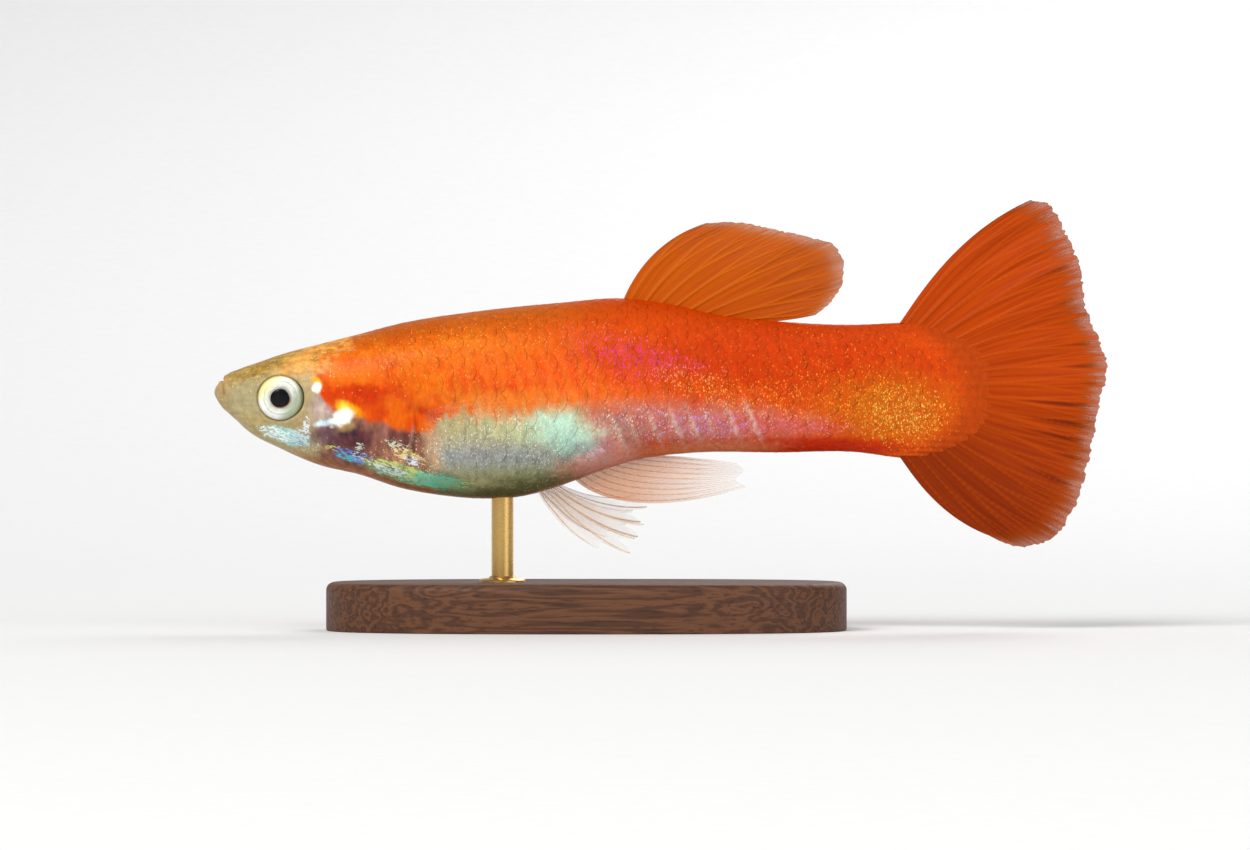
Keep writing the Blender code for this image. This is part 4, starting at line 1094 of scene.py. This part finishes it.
def ray_pattern(across, out, rays, splits, width):
    """Rays as ridges from 0 to 1, each parting in two beyond every split.

    The place across is folded into one ray's share, and again at each split, and the ridge is a bell
    of its distance from the ray's line, narrower towards the edge.
    """
    place = (across * rays) % 1.0 - 0.5
    spread = 0.25
    for split in splits:
        opened = smooth((out - split) / (1.0 - split) * 1.4)
        place = np.abs(place) - spread * opened
        spread, width = spread / 2, width * (1 - 0.4 * opened)
    return bump(place, width * (1 - 0.35 * out))


def ray_columns(columns, rays, gather):
    """Shares across a fin for its columns of points, gathered towards each ray's line."""
    place = np.linspace(0, rays, columns)
    return (np.floor(place) + 0.5 + 0.5 * signed_power(2 * (place % 1.0) - 1, gather)) / rays


def fin_mesh(name, base, edge, rays, splits, finish, place, bow, columns, rows, thick=(0.2, 0.045),
             ray_height=0.09, notch=0.015, fray=0.9, width=0.12, gather=1.0, folds=()):
    """Fin as one thin closed sheet with its rays raised on both faces, jointed along their length.

    A point is base + out (edge - base), cut short by a frayed notch near the edge and set aside by
    the bow. place() lays it in the body's space, half the sheet's thickness to either side. The
    thickness goes from root to edge (thick), plus the rays' height. Each fold is a line of painted
    shade that runs in from the edge: its share across there, where it starts on the way out, and its
    half width as a share of the fin.
    """
    across, out = np.meshgrid(ray_columns(columns, rays, gather), np.linspace(0, 1, rows), indexing="ij")
    ridge = ray_pattern(across, out, rays, splits, width)
    # Mask of painted shade along the folds, which the material darkens
    fold_shade = 0 * out
    for edge_share, start, fold_width in folds:
        depth = smooth((out - start) / (1.05 - start)) * (1 - smooth((out - 0.88) / 0.12))
        fold_shade = np.maximum(fold_shade, depth * bump(across - edge_share, fold_width * (0.3 + 0.7 * out)))
    reach = edge(across) - base(across)
    length = np.linalg.norm(reach, axis=-1)
    sideways = np.stack([-reach[..., 1], reach[..., 0]], axis=-1) / length[..., None]
    zero = 0 * out.ravel()
    fringe = lattice_noise(np.stack([across.ravel() * rays * 9, zero, zero], axis=-1), 77)
    fringe = 0.4 * (1 - bump((across * rays) % 1.0 - 0.5, 0.35)) + fray * fringe.reshape(out.shape)
    gone = 1 - notch * fringe * out**4
    flat = base(across) + reach * (out * gone)[..., None] + sideways * bow(across, out)[..., None]
    joints = 0.5 + 0.5 * np.cos(out * length / RAY_JOINT * 2 * math.pi)
    half = thick[0] + (thick[1] - thick[0]) * out**0.8
    half = half + ray_height * ridge * (1 - 0.75 * out) * (1 - 0.2 * joints)
    sheets = [place(flat, sign * half, across, out) for sign in (-1, 1)]
    points = np.concatenate([s.reshape(-1, 3) for s in sheets])
    near = grid_faces(columns, rows)
    far = near[:, ::-1] + columns * rows
    edge_loop = np.concatenate([
        np.arange(columns) * rows, (columns - 1) * rows + np.arange(1, rows),
        np.arange(columns - 2, -1, -1) * rows + rows - 1, np.arange(rows - 2, 0, -1),
    ])
    onward = np.roll(edge_loop, -1)
    rim = np.stack([edge_loop, edge_loop + columns * rows, onward + columns * rows, onward], axis=-1)
    faces = np.concatenate([near, far, rim])
    piece = add_mesh(name, points, faces.tolist(), finish)
    check_outward(piece)
    stored = {"ray": ridge, "out": out, "across": across, "joint": joints, "fold": fold_shade}
    for key, values in stored.items():
        set_point_values(piece, key, np.concatenate([values.ravel()] * 2))
    return piece


def check_outward(piece):
    """Turns every face round if the closed mesh is inside out."""
    shape = bmesh.new()
    shape.from_mesh(piece.data)
    if shape.calc_volume(signed=True) < 0:
        bmesh.ops.reverse_faces(shape, faces=shape.faces)
        shape.to_mesh(piece.data)
    shape.free()


def median_place(wave, folds, pleats=0.0, pleat_count=1.0):
    """Fin in the fish's middle plane that ripples sideways towards its edge, with finer pleats."""

    def place(flat, off, across, out):
        y = off + wave * out**2 * np.sin(2 * math.pi * folds * across)
        uneven = 1.7 * np.sin(9 * across)
        y = y + pleats * smooth(out * 1.4 - 0.2) * np.sin(2 * math.pi * pleat_count * across + uneven)
        return np.stack([flat[..., 0], y, flat[..., 1]], axis=-1)

    return place


def arch(out, lean=1.0):
    """Parabola from 0 at the root over 1 to 0 at the edge, its crown further in for a lean below 1."""
    return 4 * out**lean * (1 - out**lean)


def make_tail_fin(finish):
    """Fan behind the flesh's arc: its upper and lower rays bow, and it ripples in seven half waves."""
    edge = [
        (40.9, 9.6), (41.7, 9.4), (42.75, 7.7), (43.4, 5.9), (43.6, 4.25), (44.1, 3.05), (44.7, 1.3),
        (44.3, -0.65), (44.0, -2.55), (43.6, -4.3), (42.9, -6.2), (41.7, -7.6), (40.3, -7.9), (38.6, -7.25),
    ]

    def edge_share(z):
        shares = np.linspace(0, 1, 300)
        return float(np.interp(-z, -line_through(edge)(shares)[:, 1], shares))

    def bow(across, out):
        return (0.68 * (1 - across) ** 3 - 0.45 * across**3) * arch(out, 1.1)

    fin = fin_mesh(
        "tail_fin_web", tail_base(), line_through(edge), TAIL_RAYS, (0.22, 0.48, 0.72), finish,
        median_place(wave=0.28, folds=3.5, pleats=0.06, pleat_count=13.0), bow, columns=480, rows=100,
        ray_height=0.06, notch=0.02,
        folds=[(edge_share(z), start, wide) for z, start, wide in TAIL_FOLDS],
    )
    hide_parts("tail_fin")


def make_dorsal_fin(finish):
    """Fin swept back from the top of the back, its front rays bowed upwards and its last one low."""
    base = [(x, float(back(x)) - 0.3) for x in np.linspace(20.35, 26.0, 9)]
    edge = [
        (24.65, 8.4), (26.35, 8.42), (28.2, 8.02), (29.8, 7.66), (31.1, 7.2), (31.5, 6.4), (31.45, 5.4),
        (31.0, 4.55), (30.1, 3.75),
    ]

    def bow(across, out):
        return (0.7 * (1 - across) ** 1.5 - 0.12 * across**4) * arch(out)

    fin = fin_mesh(
        "dorsal_fin_web", line_through(base), line_through(edge), 8, (0.25, 0.6), finish,
        median_place(wave=0.2, folds=1.5, pleats=0.04, pleat_count=6.0), bow, columns=220, rows=80,
        thick=(0.16, 0.04),
    )
    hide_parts("dorsal_fin")


def through_tips(tips):
    """Edge of a fin that meets each ray's tip in the middle of that ray's share of the fin."""
    tips = np.asarray(tips, float)
    middles = (np.arange(len(tips)) + 0.5) / len(tips)
    first = tips[0] + (tips[0] - tips[1]) * 0.15
    last = tips[-1] + (tips[-1] - tips[-2]) * 0.15
    return hermite(np.concatenate([[0], middles, [1]]), np.concatenate([[first], tips, [last]]))


def make_anal_fin(finish):
    """Low fin behind the belly, its first rays the longest, swept back along the keel."""
    base = [(x, float(belly(x)) + 0.3) for x in np.linspace(17.9, 20.8, 4)]
    edge = [(26.7, -4.85), (26.1, -4.45), (26.5, -4.05), (26.15, -3.65)]

    def bow(across, out):
        return (-1.15 * (1 - across) ** 1.3 + 0.12 * across) * arch(out, 0.75)

    fin = fin_mesh(
        "anal_fin_web", line_through(base), line_through(edge), 9, (0.5,), finish,
        median_place(wave=0.1, folds=0.5, pleats=0.02, pleat_count=4.0), bow, columns=320, rows=110,
        thick=(0.1, 0.025), ray_height=0.06, width=0.07, gather=1.25,
    )
    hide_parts("anal_fin")


def make_pelvic_fin(side, label, finish):
    """Small fin under the belly: five rays with free tips, the second the lowest, opened outwards.

    Its height goes from the belly's own line at the root to the fin's flat shape at the tips, and the
    right one is turned up a little more.
    """
    root = np.array([PELVIC_ROOT, 0.0])
    turn = math.radians(0.0 if label == "left" else 9.0)
    turned_by = np.array([[math.cos(turn), math.sin(turn)], [-math.sin(turn), math.cos(turn)]])
    tips = np.array([(3.0, -2.85), (4.75, -3.15), (4.9, -2.35), (5.4, -1.65), (4.9, -0.95)])
    tips = root + tips @ turned_by
    base = [(PELVIC_ROOT + along, 0.3) for along in (-0.15, 0.35, 0.85)]
    root_depth = float(belly(PELVIC_ROOT))

    def place(flat, off, across, out):
        away = np.linalg.norm(flat - root, axis=-1)
        on_root = np.minimum(flat[..., 0], PELVIC_ROOT + 0.85)
        under = belly(on_root) * (1 - out) + root_depth * out
        y = 0.5 + 0.28 * away * out
        return np.stack([flat[..., 0], side * (y + off), flat[..., 1] + under], axis=-1)

    fin = fin_mesh(
        "pelvic_fin_web_" + label, line_through(base), through_tips(tips), 5, (), finish, place,
        lambda across, out: -0.4 * arch(out), columns=200, rows=110, thick=(0.08, 0.02), ray_height=0.07,
        notch=0.5, fray=0.1, width=0.075, gather=1.7,
    )
    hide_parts("pelvic_fin_" + label)


def make_pectoral_fin(side, label, finish):
    """Clear fan on the flank behind the gill opening: it follows the flank at its root and splays out."""
    (low, high), root_x = PECTORAL_HEIGHTS, PECTORAL_ROOT
    base = [(-0.25, high), (-0.2, (low + high) / 2), (-0.25, low)]
    tips = [(3.6, -0.35), (4.9, -0.8), (5.6, -1.45), (5.75, -2.15), (5.3, -2.85), (4.3, -3.4), (3.0, -3.6)]
    splay = math.radians(24.0)
    heights = np.linspace(low, high, 5)
    root_y = hermite(heights, side_y(np.full(5, root_x), heights))
    middle_y = float(root_y((low + high) / 2))

    def place(flat, off, across, out):
        y = root_y(flat[..., 1]) * (1 - out) + middle_y * out
        y = y + 0.5 * smooth(out / 0.3) + flat[..., 0] * math.sin(splay) + 0.25 * np.sin(math.pi * out)
        x = root_x + flat[..., 0] * math.cos(splay) - off * math.sin(splay)
        return np.stack([x, side * (y + off * math.cos(splay)), flat[..., 1]], axis=-1)

    fin = fin_mesh(
        "pectoral_fin_web_" + label, line_through(base), through_tips(tips), 11, (0.45,), finish, place,
        lambda across, out: 0.12 * arch(out), columns=170, rows=70, thick=(0.06, 0.02), ray_height=0.035,
        notch=0.03,
    )
    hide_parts("pectoral_fin_" + label)


def from_corner(corner):
    """Corner of a box in the model's metres as fish millimetres."""
    return np.array(corner) / MM - (SNOUT_X, 0, AXIS_HEIGHT)


def make_base_board(wood):
    """Oval wooden board, a superellipse from above: rings inset by a quarter circle at the upper edge."""
    low, high = (from_corner(corner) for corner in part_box("stand_base"))
    middle, half = (low + high) / 2, (high - low) / 2
    angle = np.linspace(0, 2 * math.pi, BOARD_SIDES, endpoint=False)
    round_x = signed_power(np.cos(angle), 2 / BOARD_SQUARENESS)
    round_y = signed_power(np.sin(angle), 2 / BOARD_SQUARENESS)
    floor, top = low[2], high[2]
    rings = [(half[0], floor), *((inset, floor + rise) for inset, rise in BOARD_FOOT), (0.0, top - 0.8)]
    for a in np.linspace(0, math.pi / 2, 9):
        rings.append((BOARD_EASE * (1 - math.cos(a)), top - BOARD_EASE * (1 - math.sin(a))))
    rings += [(share * half[0], top) for share in (0.2, 0.5, 1.0)]
    points = []
    for inset, z in rings:
        shrink_x = max(half[0] - inset, 0.0)
        shrink_y = max(half[1] - inset * (half[1] / half[0] if inset > 1 else 1), 0.0)
        ring = [middle[0] + round_x * shrink_x, round_y * shrink_y, np.full(BOARD_SIDES, z)]
        points.append(np.stack(ring, axis=-1))
    faces = grid_faces(len(rings), BOARD_SIDES, wrap=True)
    base = add_mesh("base_board", np.concatenate(points), faces.tolist(), wood, turn_out=True)
    base.data.set_sharp_from_angle(angle=math.radians(50))
    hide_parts("stand_base")
    return top


def turned_upright(name, x, rings, finish, sharp_degrees):
    """Surface turned about an upright axis at x, from (radius, z) points."""
    turn = np.linspace(0, 2 * math.pi, ROD_SIDES, endpoint=False)
    points = [
        np.stack([x + r * np.cos(turn), r * np.sin(turn), np.full(ROD_SIDES, z)], axis=-1) for r, z in rings
    ]
    faces = grid_faces(len(rings), ROD_SIDES, wrap=True)
    piece = add_mesh(name, np.concatenate(points), faces.tolist(), finish, turn_out=True)
    piece.data.set_sharp_from_angle(angle=math.radians(sharp_degrees))
    return piece


def make_stand(wood, brass):
    """Wooden board, the brass rod that ends against the belly, and the collar at its foot."""
    top = make_base_board(wood)
    rod_low, rod_high = (from_corner(corner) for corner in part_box("stand_rod"))
    rod_x, radius = (rod_low[0] + rod_high[0]) / 2, (rod_high[0] - rod_low[0]) / 2
    foot, head = top - ROD_IN_BOARD, rod_high[2] + ROD_IN_BELLY
    rod = turned_upright("rod", rod_x, [(0.0, foot), (radius, foot), (radius, head), (0.0, head)], brass, 50)
    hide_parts("stand_rod")
    collar_rings = [(r, top + z) for r, z in (*COLLAR, COLLAR[0])]
    collar = turned_upright("rod_collar", rod_x, collar_rings, brass, 40)


def wood_material():
    """Dark oiled wood: long rings and fine pores drawn out along the board."""
    made, graph, shader = new_material("walnut_oiled")
    place = graph.millimetres()
    grain = graph.noise(graph.scaled(place, (0.05, 0.8, 0.8)), 1.0, 3.0)
    rings = graph.math("SINE", graph.times(grain, 60.0))
    pores = graph.noise(graph.scaled(place, (0.5, 9.0, 9.0)), 1.0, 3.0, 0.7)
    colour = graph.mix(graph.ease(rings, -1.0, 1.0), rgb(78, 48, 32), rgb(104, 66, 43))
    colour = graph.mix(graph.ease(pores, 0.52, 0.68, 0.0, 0.7), colour, rgb(48, 28, 19))
    graph.feed(shader.inputs["Base Color"], colour)
    graph.feed(shader.inputs["Roughness"], graph.ease(pores, 0.3, 0.7, 0.5, 0.7))
    graph.feed(shader.inputs["Normal"], graph.bump(pores, 0.3, 0.03 * MM))
    set_inputs(shader, {"Coat Weight": 0.04, "Coat Roughness": 0.3, "Specular IOR Level": 0.25})
    return made


def brass_material():
    """Satin brass, brushed around."""
    made, graph, shader = new_material("brass_satin")
    place = graph.millimetres()
    brushed = graph.noise(graph.scaled(place, (2.0, 2.0, 26.0)), 1.0, 3.0, 0.6)
    graph.feed(shader.inputs["Base Color"], graph.mix(brushed, rgb(206, 164, 96), rgb(228, 190, 118)))
    graph.feed(shader.inputs["Roughness"], graph.ease(brushed, 0.3, 0.7, 0.24, 0.36))
    set_inputs(shader, {"Metallic": 1.0})
    return made


# Screen colours of each fin's membrane, rays, streaks, folds, rim and ray joints. The folds' tone is
# painted shade along the tail fin's folds and also darkens the last rays. The joints' tone is the
# joints' own darker colour on the orange fins and pale beads of painted highlight on the clear and fleshy
# fins.
FIN_TONES = {
    "fin_orange": (
        (186, 66, 0), (198, 80, 2), (152, 46, 0), (102, 28, 0), (168, 78, 2), (172, 60, 0),
    ),
    "fin_amber": (
        (192, 88, 2), (200, 100, 6), (174, 62, 0), (158, 52, 0), (184, 98, 6), (190, 92, 10),
    ),
    "fin_clear": (
        (216, 176, 144), (214, 180, 150), (196, 150, 118), (206, 150, 120), (226, 196, 160), (250, 226, 176),
    ),
    "fin_fleshy": (
        (226, 162, 112), (214, 168, 128), (206, 142, 100), (206, 140, 100), (226, 196, 160), (250, 226, 176),
    ),
}
FIN_TONES["fin_glassy"] = FIN_TONES["fin_clear"]


def fin_material(name, alphas, fold_depth, place_tree):
    """Half clear membrane with coloured rays, painted shade along the folds, darker last rays, and a frayed,
    clearer edge.

    The alphas are the membrane's at the root and at the edge, and what a ray adds.
    """
    ground, ray_colour, dark, fold_shade_and_low_ray_tone, rim, joint_tone_and_highlight = (rgb(*seen) for seen in FIN_TONES[name])
    alpha_root, alpha_edge, alpha_ray = alphas
    made, graph, shader = new_material(name)
    ray = graph.stored("ray")
    out = graph.stored("out")
    across = graph.stored("across")
    joint = graph.stored("joint")
    place = graph.group(place_tree, {})["Place"]
    drawn_out = {0: graph.times(across, 90.0), 1: graph.times(out, 1.2)}
    lines = graph.node("ShaderNodeCombineXYZ", drawn_out).outputs[0]
    streak = graph.noise(lines, 1.0, 3.0, 0.6)
    fold = graph.stored("fold")
    colour = graph.mix(graph.ease(streak, 0.3, 0.7, 0.0, 0.8), ground, dark)
    colour = graph.mix(graph.times(ray, 0.45), colour, ray_colour)
    # Painted shade along the tail fin's folds
    colour = graph.mix(graph.ease(fold, 0.05, 0.8, 0.0, fold_depth), colour, fold_shade_and_low_ray_tone)
    # Darker last rays, in the same tone
    colour = graph.mix(graph.ease(across, 0.4, 0.9, 0.0, fold_depth * 0.8), colour, fold_shade_and_low_ray_tone)
    # Ray joints: the orange fins' own darker joints, and on the clear and fleshy fins pale beads of painted
    # highlight
    colour = graph.mix(graph.times(graph.times(ray, joint), 0.5), colour, joint_tone_and_highlight)
    frayed = graph.plus(out, graph.times(graph.minus(streak, 0.5), 0.34))
    colour = graph.mix(graph.ease(frayed, 0.8, 1.0, 0.0, 0.75), colour, rim)
    graph.feed(shader.inputs["Base Color"], colour)
    cloudy = graph.noise(place, 1.2, 2.0)
    alpha = graph.ease(out, 0.1, 0.9, alpha_root, alpha_edge)
    alpha = graph.times(alpha, graph.ease(frayed, 0.84, 1.02, 1.0, 0.62))
    alpha = graph.plus(alpha, graph.times(graph.minus(cloudy, 0.5), 0.08))
    alpha = graph.plus(alpha, graph.times(ray, alpha_ray), clamp=True)
    graph.feed(shader.inputs["Alpha"], alpha)
    set_inputs(shader, {"Roughness": 0.5, "Specular IOR Level": 0.07})
    return made


def set_camera():
    """Level view square to the fish's left side, framed as 1250 x 850 at 0.05 mm a pixel.

    The snout's tip stands at pixel (214.5, 390) of that frame, and the distance is the frame's
    width times lens over sensor.
    """
    pixel, wide, high = 0.05, 1250, 850
    snout = (214.5, 390.0)
    middle = ((wide / 2 - snout[0]) * pixel, 0.0, (snout[1] - high / 2) * pixel)
    lens, sensor = 200.0, 36.0
    camera = bpy.data.cameras.new("camera")
    camera.lens, camera.sensor_width, camera.clip_start = lens, sensor, 0.001
    eye = bpy.data.objects.new("camera", camera)
    bpy.context.scene.collection.objects.link(eye)
    distance = pixel * wide * MM * lens / sensor
    aim = Vector(to_model(middle))
    eye.location = aim + Vector((0, -distance, 0))
    eye.rotation_euler = (math.radians(90), 0, 0)
    bpy.context.scene.camera = eye


def make_studio():
    """Pale floor that sweeps up into a backdrop by a quarter circle, three soft lamps and an even sky."""
    floor, graph, shader = new_material("studio_paper")
    place = graph.node("ShaderNodeTexCoord").outputs["Object"]
    fibre = graph.noise(place, 900.0, 4.0)
    graph.feed(shader.inputs["Base Color"], graph.mix(fibre, (0.82, 0.82, 0.81, 1), (0.86, 0.86, 0.85, 1)))
    set_inputs(shader, {"Roughness": 0.9, "Specular IOR Level": 0.1})
    half, depth, bend = 1.8, 1.0, 0.85
    angle = np.linspace(0, math.pi / 2, 24)
    y = np.concatenate([[-1.4], depth - bend + bend * np.sin(angle), [depth]])
    z = np.concatenate([[0.0], bend - bend * np.cos(angle), [1.5]])
    points = np.array([[(x, a, b) for a, b in zip(y, z)] for x in (-half, half)])
    mesh = bpy.data.meshes.new("studio_sweep")
    mesh.from_pydata(points.reshape(-1, 3).tolist(), [], grid_faces(2, len(y)).tolist())
    mesh.shade_smooth()
    mesh.materials.append(floor)
    sweep = bpy.data.objects.new("studio_sweep", mesh)
    bpy.context.scene.collection.objects.link(sweep)
    # Name, place, size, power and colour of each lamp
    lamps = (
        ("key", (-0.35, -0.62, 0.6), 0.5, 6.6, (1.0, 0.985, 0.96)),
        ("fill", (0.5, -0.5, 0.25), 0.5, 1.5, (0.97, 0.985, 1.0)),
        ("rim", (0.15, 0.38, 0.3), 0.25, 0.8, (1.0, 1.0, 1.0)),
    )
    for name, where, size, power, colour in lamps:
        light = bpy.data.lights.new(name, "AREA")
        light.size, light.energy, light.color = size, power, colour
        lamp = bpy.data.objects.new(name, light)
        lamp.location = where
        lamp.rotation_euler = (Vector((0, 0, 0.01)) - Vector(where)).to_track_quat("-Z", "Y").to_euler()
        bpy.context.scene.collection.objects.link(lamp)
    world = bpy.data.worlds.new("studio")
    world.use_nodes = True
    sky = world.node_tree.nodes["Background"]
    sky.inputs["Color"].default_value = (0.93, 0.95, 1.0, 1.0)
    sky.inputs["Strength"].default_value = 0.38
    bpy.context.scene.world = world
    bpy.context.scene.view_settings.view_transform = "Standard"


def main():
    """Builds camera and studio, then the fish from its skin outwards, then the stand."""
    set_camera()
    make_studio()
    place_tree = fish_place_group()
    glitter_tree = glitter_group()
    skin_finish = skin_material(place_tree, glitter_tree, flakes_group())
    make_skin(skin_finish)
    for side, label in SIDES:
        half = SCALE_ROWS // 2
        rows = np.arange(-half // 2, half // 2) + (0 if side < 0 else half)
        make_scales(skin_finish, "scales_" + label, rows)
    black, white = (0.004, 0.004, 0.006, 1), (1, 1, 1, 1)
    dull = {"Roughness": 0.15, "Specular IOR Level": 0.1}
    clear_lens = {"Roughness": 0.02, "Transmission Weight": 1.0, "IOR": 1.12}
    finishes = {
        "iris": iris_material(place_tree),
        "pupil": plain_material("pupil_black", black, dull),
        "cornea": plain_material("cornea_clear", white, clear_lens, spread=0.0),
    }
    for side, label in SIDES:
        make_eye(side, label, finishes)
    make_tail_fin(fin_material("fin_orange", (1.0, 0.97, 0.1), 0.85, place_tree))
    make_dorsal_fin(fin_material("fin_amber", (0.98, 0.9, 0.1), 0.3, place_tree))
    clear = fin_material("fin_clear", (0.22, 0.06, 0.6), 0.2, place_tree)
    glassy = fin_material("fin_glassy", (0.05, 0.01, 0.08), 0.2, place_tree)
    make_anal_fin(fin_material("fin_fleshy", (0.6, 0.1, 0.5), 0.2, place_tree))
    for side, label in SIDES:
        make_pelvic_fin(side, label, clear)
        make_pectoral_fin(side, label, glassy)
    make_stand(wood_material(), brass_material())


main()
